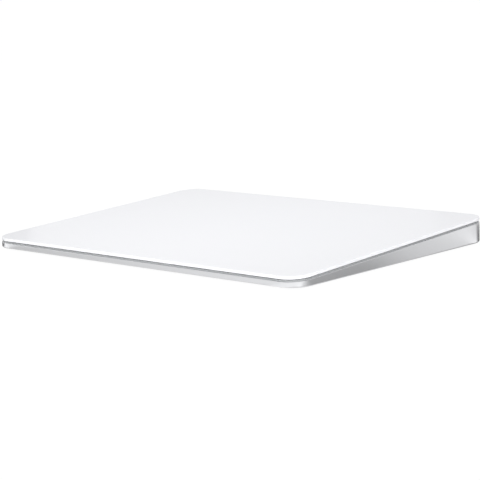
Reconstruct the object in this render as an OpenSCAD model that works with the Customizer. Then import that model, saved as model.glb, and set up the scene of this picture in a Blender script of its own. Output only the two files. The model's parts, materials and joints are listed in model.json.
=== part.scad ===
// Desk trackpad: a white glass deck on four force-sensing spring arms, in a wedge-shaped aluminium case.
// Millimetres. The origin is on the desk under the middle of the pad, +X is right, +Y is the thick rear edge.

/* [Overall] */
// Width of the pad, left to right
pad_w = 160; // [152:0.5:180]
// Depth of the pad in plan, front to rear
pad_d = 114.9; // [112:0.1:130]
// Height of the glass top above the desk at the front edge
front_h = 4.9; // [4.8:0.1:6]
// Height of the glass top above the desk at the rear edge
rear_h = 10.9; // [10.7:0.1:13]
// Corner radius in plan
corner_r = 8; // [6:0.5:12]

/* [Touch deck] */
// Thickness of the glass
glass_t = 1.15; // [0.9:0.05:1.5]
// Rounding of the glass's upper edge
glass_edge_r = 0.3; // [0.1:0.05:0.4]
// Rounding of the glass's lower edge
glass_under_r = 0.2; // [0.05:0.05:0.3]
// Thickness of the film that bonds the sensor board to the glass
film_t = 0.1; // [0.05:0.05:0.2]
// Thickness of the sensor board
sensor_t = 0.45; // [0.2:0.05:0.7]
// Thickness of the steel stiffener
stiffener_t = 0.6; // [0.5:0.1:0.8]
// Gap between the glass and the rim of the case
rim_gap = 0.85; // [0.5:0.05:1]
// Gap between the sensor board's edge and the inside of the case wall
deck_gap = 1; // [0.6:0.1:2]
// How far the deck gives when it is pressed
press_travel = 0.2; // [0.1:0.05:0.2]
// Side of the touch controller chip
controller_w = 9; // [6:0.5:11]
// Height of the touch controller chip
controller_h = 0.8; // [0.6:0.1:1.2]
// Place of the touch controller across the deck, from its middle
controller_x = -10; // [-20:1:10]
// Place of the touch controller up the deck, from its middle
controller_v = 30; // [20:1:36]
// Room around a chip or socket in the stiffener's windows
window_gap = 1; // [0.5:0.1:2]
// Extra room for the ribbon in the socket's window
ribbon_room = 2; // [1:0.5:4]

/* [Case] */
// Thickness of the case wall
wall_t = 2; // [1.6:0.1:2.4]
// Rounding of the case's lower edge
base_edge_r = 0.8; // [0.3:0.1:1]
// Width of the ledge inside the wall
ledge_w = 3; // [2:0.1:4]
// Thickness of the ledge inside the wall
ledge_t = 0.75; // [0.5:0.05:1]
// Thickness of the two cross ribs
rib_t = 3; // [2.6:0.1:4]
// Clearance between the ribs and the deck when it is pressed
rib_gap = 0.4; // [0.2:0.05:0.6]
// Distance between the two cross ribs
rib_span = 21.5; // [20:0.1:24]
// Thickness of the bottom cover
cover_t = 0.8; // [0.6:0.1:1]
// Clearance around the bottom cover
cover_gap = 0.15; // [0.1:0.05:0.3]
// Thickness of the adhesive under the ledge and the battery
glue_t = 0.15; // [0.1:0.05:0.3]
// Distance of the adhesive ring from the edges of the cover and the ledge
glue_inset = 0.15; // [0.1:0.05:0.3]
// Width of the foam dust seal in the rim
seal_w = 1.6; // [1:0.1:1.7]
// Depth of the foam dust seal in the rim
seal_h = 0.5; // [0.3:0.1:0.8]
// Gap that stays between the dust seal and the pressed glass
seal_gap = 0.05; // [0.05:0.05:0.2]

/* [Feet] */
// Diameter of a rubber foot
foot_d = 9.8; // [7:0.1:12]
// How far a foot stands below the case
foot_h = 0.8; // [0.6:0.1:1.2]
// Depth of a foot's seat in the cover
foot_seat = 0.3; // [0.2:0.05:0.4]
// Clearance around a foot in its seat
foot_gap = 0.1; // [0.05:0.05:0.2]
// Distance of a foot's middle from the edges of the pad
foot_inset = 15; // [12:0.5:20]
// Rounding of a foot's lower edge
foot_edge_r = 0.25; // [0.1:0.05:0.4]
// Rounding of a foot's upper edge
foot_top_r = 0.1; // [0.05:0.05:0.2]

/* [Force mounts] */
// Thickness of a spring arm
flexure_t = 0.5; // [0.4:0.05:0.7]
// Width of an arm's root
root_w = 10; // [8:0.5:11]
// Length of an arm's root
root_l = 10; // [8:0.5:12]
// Width of an arm's bending part
beam_w = 5; // [4:0.5:7]
// Length of an arm's bending part
beam_l = 12; // [8:0.5:14]
// Diameter of an arm's tip
tip_d = 8; // [6:0.5:9]
// Distance of an arm's tip from the front or rear edge of the deck
mount_setback = 18; // [15:0.5:20]
// Gap between the arms and the ledge
mount_gap = 1; // [0.6:0.1:2]
// Height of the stiffener's threaded bosses
standoff_h = 0.35; // [0.3:0.05:0.5]
// Diameter of the stiffener's threaded bosses
standoff_d = 4.4; // [3.6:0.1:5.5]
// Thickness of the gel pad under an arm's root
gel_t = 0.4; // [0.3:0.05:0.5]
// Margin of the case's boss around an arm's root
boss_margin = 0.5; // [0.2:0.1:0.8]
// Length of a strain gauge
gauge_l = 5; // [3:0.5:6]
// Width of a strain gauge
gauge_w = 3.4; // [2:0.2:4]
// Thickness of a strain gauge
gauge_t = 0.06; // [0.04:0.01:0.1]

/* [Haptic engine] */
// Width of the bracket
bracket_w = 72; // [68:0.5:80]
// Thickness of the bracket
bracket_t = 0.6; // [0.5:0.1:0.8]
// Clearance around the bracket in its pocket
pocket_gap = 0.15; // [0.1:0.05:0.3]
// Distance of a bracket screw from the bracket's ends
bracket_screw_inset = 4.2; // [3:0.1:6]
// Width of one core
core_w = 26; // [24:0.5:28]
// Distance between the middles of the two cores
core_pitch = 30; // [29:0.5:34]
// Thickness of a core
core_t = 1.7; // [1.4:0.1:1.9]
// Length of a core's teeth
tooth_l = 6; // [5:0.5:7]
// Thickness of a core's back
core_back = 3; // [2:0.5:4]
// Width of a core's middle tooth
middle_tooth = 6; // [5:0.5:7]
// Width of a core's outer teeth
outer_tooth = 3; // [2:0.5:4]
// Length of a coil along its tooth
coil_l = 4.8; // [3:0.1:4.8]
// Thickness of a coil's winding beside its tooth
coil_side = 2; // [1:0.1:2.5]
// Thickness of a coil's winding above and below its tooth
coil_cap = 0.5; // [0.3:0.1:0.6]
// Clearance between a coil and its tooth
coil_gap = 0.05; // [0.03:0.01:0.1]
// Room around a coil in the bracket's windows
coil_room = 0.5; // [0.3:0.1:1]
// Air gap between the cores and the attractor bar
air_gap = 0.4; // [0.3:0.05:0.6]
// Thickness of the attractor bar
attractor_t = 2.5; // [2:0.1:3]
// Height of the attractor bar
attractor_h = 2.1; // [1.6:0.1:2.2]
// Clearance between the front rib and the attractor bar
attractor_gap = 1.5; // [1:0.1:2]

/* [Battery] */
// Thickness of the battery
battery_t = 3.6; // [3:0.1:3.7]
// Rounding of the battery's edges
battery_edge_r = 0.9; // [0.4:0.1:1.4]
// Rounding of the battery's corners in plan
battery_corner_r = 3; // [2:0.5:4]
// Length of the sealed lip that carries the battery's board
lip_l = 4.5; // [4:0.1:6]
// Thickness of the sealed lip
lip_t = 0.3; // [0.2:0.05:0.4]
// Width of the battery's board
cell_board_w = 3; // [2.5:0.1:3.5]
// Distance of the battery's board from the battery's corners
cell_board_inset = 4; // [2:0.5:6]
// Gap between the battery, the boards and the case
bay_gap = 1.5; // [1:0.1:2]
// Width of one adhesive strip under the battery
strip_glue_w = 8; // [5:0.5:12]
// Distance of an adhesive strip's ends from the battery's ends
strip_glue_inset = 6; // [3:0.5:10]

/* [Logic board] */
// Thickness of the boards
board_t = 0.8; // [0.6:0.1:1]
// Height of the board's bosses
board_boss_h = 1.25; // [1:0.05:1.4]
// Diameter of the board's bosses
board_boss_d = 5.5; // [4.5:0.1:6]
// Width of the block at the right
block_w = 19; // [18:0.5:22]
// Depth of the strip along the rear wall
strip_d = 11.6; // [11:0.1:14]
// How far the strip reaches to the left of the port
strip_reach = 16; // [13:0.5:24]
// Gap between the board and the rear wall
board_gap = 0.8; // [0.5:0.1:1]
// Distance of a board screw from the board's edges
screw_inset = 3.5; // [3:0.1:4]
// Width of the flat ribbons
ribbon_w = 7; // [5:0.5:8]
// Thickness of the flat ribbons
ribbon_t = 0.12; // [0.08:0.02:0.2]
// Length of a ribbon socket
socket_l = 9; // [8.5:0.5:10]
// Depth of a ribbon socket
socket_d = 3; // [2.5:0.1:3.5]
// Height of a ribbon socket
socket_h = 0.9; // [0.7:0.1:1.1]
// Length of the shield can
can_l = 12; // [10:0.5:12.5]
// Width of the shield can
can_w = 13; // [11:0.5:15]
// Height of the shield can
can_h = 1.5; // [1.3:0.1:1.6]
// Sheet thickness of the shield can
can_t = 0.15; // [0.1:0.05:0.25]
// Side of the main controller
main_chip_w = 8; // [6:0.5:9]
// Height of the main controller
main_chip_h = 1; // [0.8:0.1:1.4]
// Side of the radio chip under the shield
radio_chip_w = 6; // [4:0.5:8]
// Height of the radio chip
radio_chip_h = 0.9; // [0.6:0.1:1]
// Side of a power chip
power_chip_w = 4; // [3:0.5:5]
// Height of a power chip
power_chip_h = 0.9; // [0.7:0.1:1.2]
// Distance between the two power chips
power_chip_pitch = 6; // [5.5:0.5:8]
// Width of the antenna
antenna_w = 12; // [8:0.5:14]
// Length of the antenna
antenna_l = 16; // [12:0.5:20]
// Thickness of the antenna
antenna_t = 0.12; // [0.1:0.02:0.2]
// Width of the antenna's spring contact
contact_w = 2; // [1.5:0.1:3]
// Sheet thickness of the antenna's spring contact
contact_t = 0.15; // [0.1:0.05:0.2]
// Reach of the antenna's spring contact
contact_l = 3.2; // [2.5:0.1:4]

/* [Port] */
// Outside width of the port's shell
port_w = 8.94; // [8.9:0.02:9.2]
// Outside height of the port's shell
port_h = 3.26; // [3.2:0.02:3.4]
// Sheet thickness of the port's shell
port_wall = 0.3; // [0.25:0.05:0.35]
// Depth of the port
port_l = 7.35; // [6.5:0.05:8]
// How far the port's mouth lies inside the rear wall
port_recess = 0.3; // [0.1:0.1:0.6]
// Clearance around the port in the wall
port_gap = 0.15; // [0.1:0.05:0.3]
// Thickness of the port's closed back
port_back = 1.5; // [1:0.1:2.5]
// Width of the tongue
tongue_w = 6.69; // [6.5:0.01:6.8]
// Thickness of the tongue
tongue_t = 0.7; // [0.6:0.05:0.8]
// Length of the tongue
tongue_l = 4.45; // [4:0.05:4.6]
// Number of contacts on each face of the tongue
contact_count = 12; // [8:1:12]
// Distance between two contacts
contact_pitch = 0.5; // [0.45:0.01:0.52]
// Width of a contact
pin_w = 0.26; // [0.2:0.02:0.3]
// Length of a contact
pin_l = 3.4; // [2.5:0.1:3.6]
// Thickness of a contact
pin_t = 0.05; // [0.03:0.01:0.08]
// Sheet thickness of the saddle over the port
saddle_t = 0.4; // [0.3:0.05:0.5]
// Length of the saddle
saddle_l = 3.2; // [2.5:0.1:3.6]
// Width of the saddle's side tabs
saddle_tab = 2.4; // [1.5:0.1:3]
// Clearance between the saddle and the port
saddle_gap = 0.05; // [0.03:0.01:0.1]

/* [Power switch] */
// How far the switch slides
switch_travel = 2.4; // [1.5:0.1:2.6]
// Width of the knob
knob_w = 8.2; // [7:0.1:9]
// Height of the knob
knob_h = 3.6; // [3:0.1:4]
// Thickness of the knob
knob_t = 0.6; // [0.5:0.05:0.7]
// Depth of the recess in the rear wall
recess_d = 1.1; // [1:0.05:1.2]
// Thickness of the green plate in the recess
liner_t = 0.2; // [0.1:0.05:0.25]
// Clearance around and behind the knob
knob_gap = 0.15; // [0.1:0.05:0.25]
// Width of the knob's stem
stem_w = 2.5; // [2:0.1:3.4]
// Height of the knob's stem
stem_h = 1.2; // [1:0.1:1.4]
// Number of thumb grooves in the knob
groove_count = 3; // [1:1:5]
// Distance between two grooves
groove_pitch = 1; // [0.8:0.1:1.2]
// Width of a groove
groove_w = 0.4; // [0.3:0.05:0.5]
// Depth of a groove
groove_d = 0.2; // [0.1:0.05:0.3]
// Height of a groove
groove_h = 1.8; // [1:0.1:2.4]
// Width of the slide switch on the board
slider_w = 7.5; // [7:0.1:8]
// Depth of the slide switch
slider_d = 3; // [2.6:0.1:3.4]
// Height of the slide switch
slider_h = 2; // [1.9:0.1:2.4]
// Width of the slide switch's lever
lever_w = 1.4; // [1:0.1:1.8]
// Height of the lever
lever_h = 0.8; // [0.6:0.1:1]
// Length of the lever
lever_l = 2.6; // [2.2:0.1:3]
// Width of the yoke between the lever and the knob
yoke_w = 4.4; // [4:0.1:5]
// Height of the yoke
yoke_h = 1.5; // [1.3:0.1:1.7]
// Clearance between the yoke, the lever and the wall
yoke_gap = 0.15; // [0.1:0.05:0.25]

/* [Screws] */
// Thread diameter of the deck, bracket and board screws
screw_d = 1.5; // [1.4:0.1:1.8]
// Head diameter of the pan-head screws
head_d = 2.8; // [2.6:0.1:3.2]
// Head height of the pan-head screws
head_h = 0.45; // [0.35:0.05:0.5]
// Thread diameter of the attractor's screws
fine_screw_d = 1.1; // [1:0.1:1.4]
// Head diameter of the attractor's screws
fine_head_d = 2.2; // [2:0.1:2.4]
// How far the attractor's screws reach into the bar
fine_screw_l = 1.3; // [1:0.1:1.4]
// How far the bracket's screws reach into the ribs
rib_screw_l = 1.2; // [0.8:0.1:1.3]
// Clearance in a threaded hole, on the diameter
thread_gap = 0.1; // [0.06:0.02:0.2]
// Clearance in a through hole, on the diameter
hole_gap = 0.2; // [0.16:0.02:0.4]

/* [Hidden] */
$fn = 64;
// Overshoot of a cut past the face that it opens
cut = 0.5;
// Size of a block that reaches past the whole pad
reach = 2 * (pad_w + pad_d);
// Step along a round bend, in degrees
bend_step = 15;

half_w = pad_w / 2;
half_d = pad_d / 2;
tilt = atan((rear_h - front_h) / pad_d);
// Length of the glass along its slope, so that its lower rear edge stays over the case
deck_l = (pad_d - glass_t * sin(tilt)) / cos(tilt);

// Depths under the glass top, measured square to it
sensor_depth = glass_t + film_t + sensor_t;
stack_depth = sensor_depth + stiffener_t;
rim_depth = glass_t + rim_gap;
seal_depth = glass_t + press_travel + seal_gap;
flexure_depth = stack_depth + standoff_h;
gel_depth = flexure_depth + flexure_t;
boss_depth = gel_depth + gel_t;

// Heights above the desk
cover_top = foot_h + cover_t;
ledge_z = cover_top + glue_t;
bracket_top = ledge_z + bracket_t;
board_z = ledge_z + board_boss_h;
board_top = board_z + board_t;

// Distances of the sensor board's and the stiffener's edges from the edge of the glass
sensor_inset = wall_t + deck_gap;
stiffener_inset = sensor_inset + ledge_w;

// Inside faces of the case walls
inner_x = half_w - wall_t;
inner_y = half_d - wall_t;

// Spring arms: the four corners as name, side and end
CORNERS = [["front_left", -1, -1], ["front_right", 1, -1], ["rear_left", -1, 1], ["rear_right", 1, 1]];
arm_l = tip_d / 2 + beam_l + root_l / 2;
mount_x = inner_x - ledge_w - mount_gap - root_w / 2;
function tip_v(end) = deck_l / 2 + end * (deck_l / 2 - mount_setback);
function root_v(end) = tip_v(end) - end * arm_l;
// Place in plan of a point v along the slope and a depth under the glass top
function plan_y(v, depth) = -half_d + v * cos(tilt) + depth * sin(tilt);
function plan_z(v, depth) = front_h + v * sin(tilt) - depth * cos(tilt);

// Ribs and haptic engine, front to rear
rib_front_y = plan_y(root_v(-1), boss_depth);
rib_mid_y = rib_front_y + rib_span;
RIBS = [rib_front_y, rib_mid_y];
bracket_screw_x = bracket_w / 2 - bracket_screw_inset;
attractor_y = rib_front_y + rib_t / 2 + attractor_gap + attractor_t / 2;
attractor_l = core_pitch + core_w;
attractor_v = (attractor_y + half_d - stack_depth * sin(tilt)) / cos(tilt);
pole_y = attractor_y + attractor_t / 2 + air_gap;
coil_y = pole_y + (tooth_l - coil_l) / 2;
coil_w = middle_tooth + 2 * (coil_gap + coil_side);
coil_h = core_t + 2 * (coil_gap + coil_cap);

// Logic board, an L along the rear wall and down the right side
block_x1 = mount_x - root_w / 2 - bay_gap;
block_x0 = block_x1 - block_w;
block_x = (block_x0 + block_x1) / 2;
block_y0 = rib_mid_y + rib_t / 2 + bay_gap;
board_y1 = inner_y - board_gap;
strip_y0 = board_y1 - strip_d;
strip_x0 = -strip_reach;
BOARD_SCREWS = [
    [strip_x0 + screw_inset, board_y1 - screw_inset],
    [block_x1 - screw_inset, board_y1 - screw_inset],
    [block_x1 - screw_inset, block_y0 + screw_inset]
];
front_screw = BOARD_SCREWS[2];
can_x = block_x0 + bay_gap + can_l / 2;
can_y0 = block_y0 + bay_gap;
strap_y = can_y0 + can_w + bay_gap + socket_l / 2;
antenna_y0 = front_screw[1] + board_boss_d / 2 + bay_gap;
contact_rise = board_z - cover_top - antenna_t;

// Battery, in the bay that the board, the ribs and the spring arms leave
battery_x0 = -block_x1;
battery_x1 = block_x0 - bay_gap;
battery_y0 = block_y0;
battery_y1 = strip_y0 - bay_gap;
battery_y = (battery_y0 + battery_y1) / 2;
cell_l = battery_x1 - battery_x0 - lip_l;
cell_d = battery_y1 - battery_y0;
cell_board_l = cell_d - 2 * cell_board_inset;

// Sockets at the two ends of the sensor ribbon
flex_socket_y = strap_y + (socket_l - socket_d) / 2;
ribbon_bend_y = flex_socket_y + socket_d / 2 + bay_gap;
sensor_socket_v = (flex_socket_y + half_d - sensor_depth * sin(tilt)) / cos(tilt);

// Port and switch in the rear wall
port_z = board_top + port_h / 2;
port_y1 = half_d - port_recess;
port_y0 = port_y1 - port_l;
switch_x = block_x - switch_travel;
switch_z = board_top + slider_h / 2;
slider_y1 = board_y1 - screw_inset;
lever_y0 = slider_y1 - lever_l / 2;
lever_y1 = lever_y0 + lever_l;
yoke_y0 = slider_y1 + yoke_gap;
yoke_y1 = inner_y - yoke_gap;
recess_y = half_d - recess_d;
knob_y0 = recess_y + liner_t + knob_gap;

function names(piece) = [for (c = CORNERS) str(piece, "_", c[0])];

// Colours
glass_white = "#f3f4f8";
aluminium = "#c9cbce";
plastic_white = "#f0f0ef";
rubber_grey = "#a9abad";
foam_grey = "#a1a1a3";
steel = "#b4b8bb";
spring_steel = "#9ea3a6";
board_green = "#1f5a3c";
chip_black = "#26282a";
copper = "#b87333";
film_amber = "#c98a2b";
gold = "#d4af37";
pouch_grey = "#8f9498";
flag_green = "#4fb34a";

// Shared shapes

// A rectangle with round corners
module rounded_rect(w, d, r) {
    square([w - 2 * r, d], center = true);
    square([w, d - 2 * r], center = true);
    for (x = [-1, 1], y = [-1, 1])
        translate([x * (w / 2 - r), y * (d / 2 - r)]) circle(r);
}

// The pad's outline in plan, drawn in from the edge
module outline(inset) {
    rounded_rect(pad_w - 2 * inset, pad_d - 2 * inset, corner_r - inset);
}

// A slot with full round ends
module pill(w, h) {
    square([w - h, h], center = true);
    for (x = [-1, 1]) translate([x * (w - h) / 2, 0]) circle(d = h);
}

// Half of a slab's cross-section, out to x = r, with its lower and upper outer edges rounded
module edge_profile(r, t, low, high) {
    difference() {
        square([r, t]);
        translate([r - low, 0]) square(low);
        translate([r - high, t - high]) square(high);
    }
    translate([r - low, low]) circle(low);
    translate([r - high, t - high]) circle(high);
}

// A plate with round corners and rounded lower and upper edges
module rounded_slab(w, d, r, t, low, high) {
    across = w - 2 * r;
    along = d - 2 * r;
    for (i = [0 : 3])
        translate([(i == 0 || i == 3 ? 1 : -1) * across / 2, (i < 2 ? 1 : -1) * along / 2])
            rotate(90 * i) rotate_extrude(angle = 90) edge_profile(r, t, low, high);
    for (side = [0, 1]) {
        mirror([0, side, 0]) translate([-across / 2, 0, 0]) rotate([90, 0, 90])
            linear_extrude(across) edge_profile(d / 2, t, low, high);
        mirror([side, 0, 0]) translate([across / 2, along / 2, 0]) rotate([90, 0, 0])
            linear_extrude(along) edge_profile(r, t, low, high);
    }
}

// Places its children on the sloping deck: y runs up the slope from the front edge, z = 0 is the glass top
module on_deck() {
    translate([0, -half_d, front_h]) rotate([tilt, 0, 0]) children();
}

// All space lower than a depth under the glass top
module below_deck(depth) {
    on_deck() translate([-reach / 2, -reach / 2, -depth - reach]) cube(reach);
}

// A ring-shaped wall in plan between two insets, from z0 upwards
module ring(outer, inner, z0, h) {
    translate([0, 0, z0]) linear_extrude(h) difference() {
        outline(outer);
        outline(inner);
    }
}

// Turns a profile drawn in x and z so that it runs along y
module along_y(y0, length) {
    translate([0, y0 + length, 0]) rotate([90, 0, 0]) linear_extrude(length) children();
}

// A block by its lowest corner and its highest corner
module block(low, high) {
    translate(low) cube(high - low);
}

// Touch deck

module touch_glass() color(glass_white)
    on_deck() translate([0, deck_l / 2, -glass_t])
        rounded_slab(pad_w, deck_l, corner_r, glass_t, glass_under_r, glass_edge_r);

// A plate under the glass, drawn in from its edges
module deck_plate(inset, depth, t) {
    on_deck() translate([0, deck_l / 2, -depth - t])
        linear_extrude(t) rounded_rect(pad_w - 2 * inset, deck_l - 2 * inset, corner_r - inset / 2);
}

module glass_film() color(film_amber) deck_plate(sensor_inset, glass_t, film_t);

module sensor_board() color(board_green) deck_plate(sensor_inset, glass_t + film_t, sensor_t);

module touch_controller() color(chip_black)
    on_deck() translate([controller_x, deck_l / 2 + controller_v, -sensor_depth - controller_h / 2])
        cube([controller_w, controller_w, controller_h], center = true);

module sensor_connector() color(plastic_white)
    on_deck() translate([block_x, sensor_socket_v, -sensor_depth - socket_h / 2])
        cube([socket_l, socket_d, socket_h], center = true);

// Places its children at the attractor's three screws, at the top of the stiffener
module at_attractor_screws() {
    on_deck() for (i = [-1, 0, 1])
        translate([i * (attractor_l / 2 - fine_head_d), attractor_v, -sensor_depth]) children();
}

// Places its children at each spring arm's tip, at the stiffener's underside
module at_tips() {
    on_deck() for (c = CORNERS) translate([c[1] * mount_x, tip_v(c[2]), -stack_depth]) children();
}

// A window through the stiffener, around something of a width and depth on the sensor board
module stiffener_window(x, v, w, d) {
    size = [w + 2 * window_gap, d + 2 * window_gap, stiffener_t + 2 * cut];
    on_deck() translate([x, v, -sensor_depth - stiffener_t / 2]) cube(size, center = true);
}

module stiffener_plate() color(steel)
    difference() {
        union() {
            deck_plate(stiffener_inset, sensor_depth, stiffener_t);
            at_tips() translate([0, 0, -standoff_h]) cylinder(h = standoff_h, d = standoff_d);
        }
        at_tips() translate([0, 0, -standoff_h - cut])
            cylinder(h = standoff_h + stiffener_t + 2 * cut, d = screw_d + thread_gap);
        stiffener_window(controller_x, deck_l / 2 + controller_v, controller_w, controller_w);
        stiffener_window(block_x, sensor_socket_v + ribbon_room / 2, socket_l, socket_d + ribbon_room);
        at_attractor_screws() translate([0, 0, -stiffener_t])
            cylinder(h = stiffener_t, d1 = fine_screw_d + hole_gap, d2 = fine_head_d + hole_gap);
    }

module attractor_bar() color(spring_steel)
    difference() {
        on_deck() translate([-attractor_l / 2, attractor_v - attractor_t / 2, -stack_depth - attractor_h])
            cube([attractor_l, attractor_t, attractor_h]);
        at_attractor_screws() translate([0, 0, -stiffener_t - fine_screw_l - thread_gap])
            cylinder(h = fine_screw_l + thread_gap + cut, d = fine_screw_d + thread_gap);
    }

module attractor_screws() color(steel)
    at_attractor_screws() {
        translate([0, 0, -stiffener_t]) cylinder(h = stiffener_t, d1 = fine_screw_d, d2 = fine_head_d);
        translate([0, 0, -stiffener_t - fine_screw_l]) cylinder(h = fine_screw_l, d = fine_screw_d);
    }

module flexure_screws() color(steel)
    at_tips() {
        translate([0, 0, -standoff_h - flexure_t - head_h]) cylinder(h = head_h, d = head_d);
        translate([0, 0, -standoff_h - flexure_t])
            cylinder(h = standoff_h + flexure_t + stiffener_t - thread_gap, d = screw_d);
    }

// Force mounts

// Places its children on one corner's arm: the tip is at the origin and the root lies along +y
module on_arm(c, depth) {
    on_deck() translate([c[1] * mount_x, tip_v(c[2]), -depth]) mirror([0, c[2] > 0 ? 1 : 0, 0]) children();
}

module flexure(c) color(spring_steel)
    on_arm(c, gel_depth) linear_extrude(flexure_t) difference() {
        union() {
            circle(d = tip_d);
            translate([-beam_w / 2, 0]) square([beam_w, arm_l]);
            translate([-root_w / 2, arm_l - root_l / 2]) square([root_w, root_l]);
        }
        circle(d = screw_d + hole_gap);
    }

module strain_gauge(c) color(film_amber)
    on_arm(c, gel_depth + gauge_t)
        translate([-gauge_w / 2, tip_d / 2 + (beam_l - gauge_l) / 2, 0]) cube([gauge_w, gauge_l, gauge_t]);

module gel_pad(c) color(rubber_grey)
    on_arm(c, boss_depth)
        translate([boss_margin - root_w / 2, arm_l - root_l / 2 + boss_margin, 0])
            cube([root_w - 2 * boss_margin, root_l - 2 * boss_margin, gel_t]);

// Case

// A column around one spring arm's root, with a margin, from its inner side out to x1
module root_column(c, x1) {
    x0 = mount_x - root_w / 2 - boss_margin;
    y0 = plan_y(root_v(c[2]), boss_depth) - root_l / 2 - boss_margin;
    mirror([c[1] < 0 ? 1 : 0, 0, 0])
        translate([x0, y0, ledge_z]) cube([x1 - x0, root_l + 2 * boss_margin, rear_h]);
}

// A boss that joins the side wall and carries one spring arm's root
module root_boss(c) {
    intersection() {
        root_column(c, inner_x + wall_t / 2);
        below_deck(boss_depth);
    }
}

// The space over a boss, which the front rib leaves free
module root_bay(c) {
    difference() {
        root_column(c, inner_x);
        below_deck(boss_depth);
    }
}

// A cross rib from side wall to side wall, cut parallel to the deck
module rib(y) {
    intersection() {
        translate([-inner_x - wall_t / 2, y - rib_t / 2, ledge_z])
            cube([2 * inner_x + wall_t, rib_t, rear_h]);
        below_deck(stack_depth + press_travel + rib_gap);
    }
}

// A round boss under one of the board's screws
module board_boss(place) {
    translate([place[0], place[1], ledge_z]) cylinder(h = board_boss_h, d = board_boss_d);
}

// The pocket in the ribs that the haptic bracket seats in
module bracket_pocket() {
    translate([-bracket_w / 2 - pocket_gap, rib_front_y - rib_t / 2 - cut, ledge_z - cut])
        cube([bracket_w + 2 * pocket_gap, rib_span + rib_t + 2 * cut, bracket_t + cut]);
}

// Places its children at the bracket's four screws, at its underside
module at_bracket_screws() {
    for (x = [-1, 1], y = RIBS) translate([x * bracket_screw_x, y, ledge_z]) children();
}

// The openings for the port and the switch in the rear wall
module rear_openings() {
    along_y(inner_y - cut, wall_t + 2 * cut)
        translate([0, port_z]) pill(port_w + 2 * port_gap, port_h + 2 * port_gap);
    along_y(recess_y, recess_d + cut) translate([switch_x + switch_travel / 2, switch_z])
        pill(knob_w + switch_travel + 2 * knob_gap, knob_h + 2 * knob_gap);
    along_y(inner_y - cut, wall_t) translate([switch_x + switch_travel / 2, switch_z])
        square([stem_w + switch_travel + 2 * knob_gap, stem_h + 2 * knob_gap], center = true);
}

// The wedge-shaped wall with its ledge, before ribs and bosses
module case_shell() {
    difference() {
        intersection() {
            // Its upper edge is cut away with the slope
            translate([0, 0, foot_h]) rounded_slab(pad_w, pad_d, corner_r, 2 * rear_h, base_edge_r, cut);
            below_deck(rim_depth);
        }
        translate([0, 0, foot_h - cut]) linear_extrude(ledge_z - foot_h + cut) outline(wall_t);
        translate([0, 0, ledge_z - cut]) linear_extrude(ledge_t + 2 * cut) outline(wall_t + ledge_w);
        translate([0, 0, ledge_z + ledge_t]) linear_extrude(2 * rear_h) outline(wall_t);
    }
}

module case_frame() color(aluminium)
    difference() {
        union() {
            case_shell();
            difference() {
                for (y = RIBS) rib(y);
                for (c = CORNERS) root_bay(c);
            }
            for (c = CORNERS) root_boss(c);
            for (place = BOARD_SCREWS) board_boss(place);
            // Web from the middle rib to the board's front boss
            translate([front_screw[0] - board_boss_d / 2, rib_mid_y, ledge_z])
                cube([board_boss_d, front_screw[1] - rib_mid_y, board_boss_h]);
        }
        seal_ring();
        rear_openings();
        bracket_pocket();
        for (place = BOARD_SCREWS) translate([place[0], place[1], ledge_z - cut])
            cylinder(h = board_boss_h + 2 * cut, d = screw_d + thread_gap);
        at_bracket_screws() cylinder(h = bracket_t + rib_screw_l + thread_gap, d = screw_d + thread_gap);
    }

// The foam ring that stands in a step along the inside of the rim, up to just under the pressed glass
module seal_ring() {
    intersection() {
        ring(wall_t - seal_w, wall_t, foot_h, 2 * rear_h);
        difference() {
            below_deck(seal_depth);
            below_deck(rim_depth + seal_h);
        }
    }
}

module dust_seal() color(foam_grey) seal_ring();

// Places its children under each corner of the cover, at the desk
module at_foot(c) {
    translate([c[1] * (half_w - foot_inset), c[2] * (half_d - foot_inset), 0]) children();
}

module bottom_cover() color(plastic_white)
    difference() {
        translate([0, 0, foot_h]) linear_extrude(cover_t) outline(wall_t + cover_gap);
        for (c = CORNERS) at_foot(c) cylinder(h = foot_h + foot_seat, d = foot_d + 2 * foot_gap);
    }

module cover_adhesive() color(film_amber)
    ring(wall_t + cover_gap + glue_inset, wall_t + ledge_w - glue_inset, cover_top, glue_t);

module foot(c) color(rubber_grey)
    at_foot(c) rotate_extrude() edge_profile(foot_d / 2, foot_h + foot_seat, foot_edge_r, foot_top_r);

// Haptic engine

module haptic_bracket() color(steel)
    difference() {
        translate([-bracket_w / 2, rib_front_y - rib_t / 2, ledge_z])
            cube([bracket_w, rib_span + rib_t, bracket_t]);
        at_bracket_screws()
            cylinder(h = bracket_t, d1 = head_d + hole_gap, d2 = screw_d + hole_gap);
        for (side = [-1, 1]) translate([side * core_pitch / 2, coil_y + coil_l / 2, ledge_z])
            cube([coil_w + 2 * coil_room, coil_l + 2 * coil_room, 2 * (bracket_t + cut)], center = true);
    }

module haptic_core(side) color(spring_steel)
    translate([side * core_pitch / 2, pole_y, bracket_top]) linear_extrude(core_t) {
        translate([-core_w / 2, tooth_l]) square([core_w, core_back]);
        translate([-middle_tooth / 2, 0]) square([middle_tooth, tooth_l]);
        for (x = [-core_w / 2, core_w / 2 - outer_tooth]) translate([x, 0]) square([outer_tooth, tooth_l]);
    }

module haptic_coil(side) color(copper)
    along_y(coil_y, coil_l) translate([side * core_pitch / 2, bracket_top + core_t / 2]) difference() {
        rounded_rect(coil_w, coil_h, coil_cap);
        square([middle_tooth + 2 * coil_gap, core_t + 2 * coil_gap], center = true);
    }

module haptic_screws() color(steel)
    at_bracket_screws() {
        cylinder(h = bracket_t, d1 = head_d, d2 = screw_d);
        translate([0, 0, bracket_t]) cylinder(h = rib_screw_l, d = screw_d);
    }

// Battery

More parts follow.
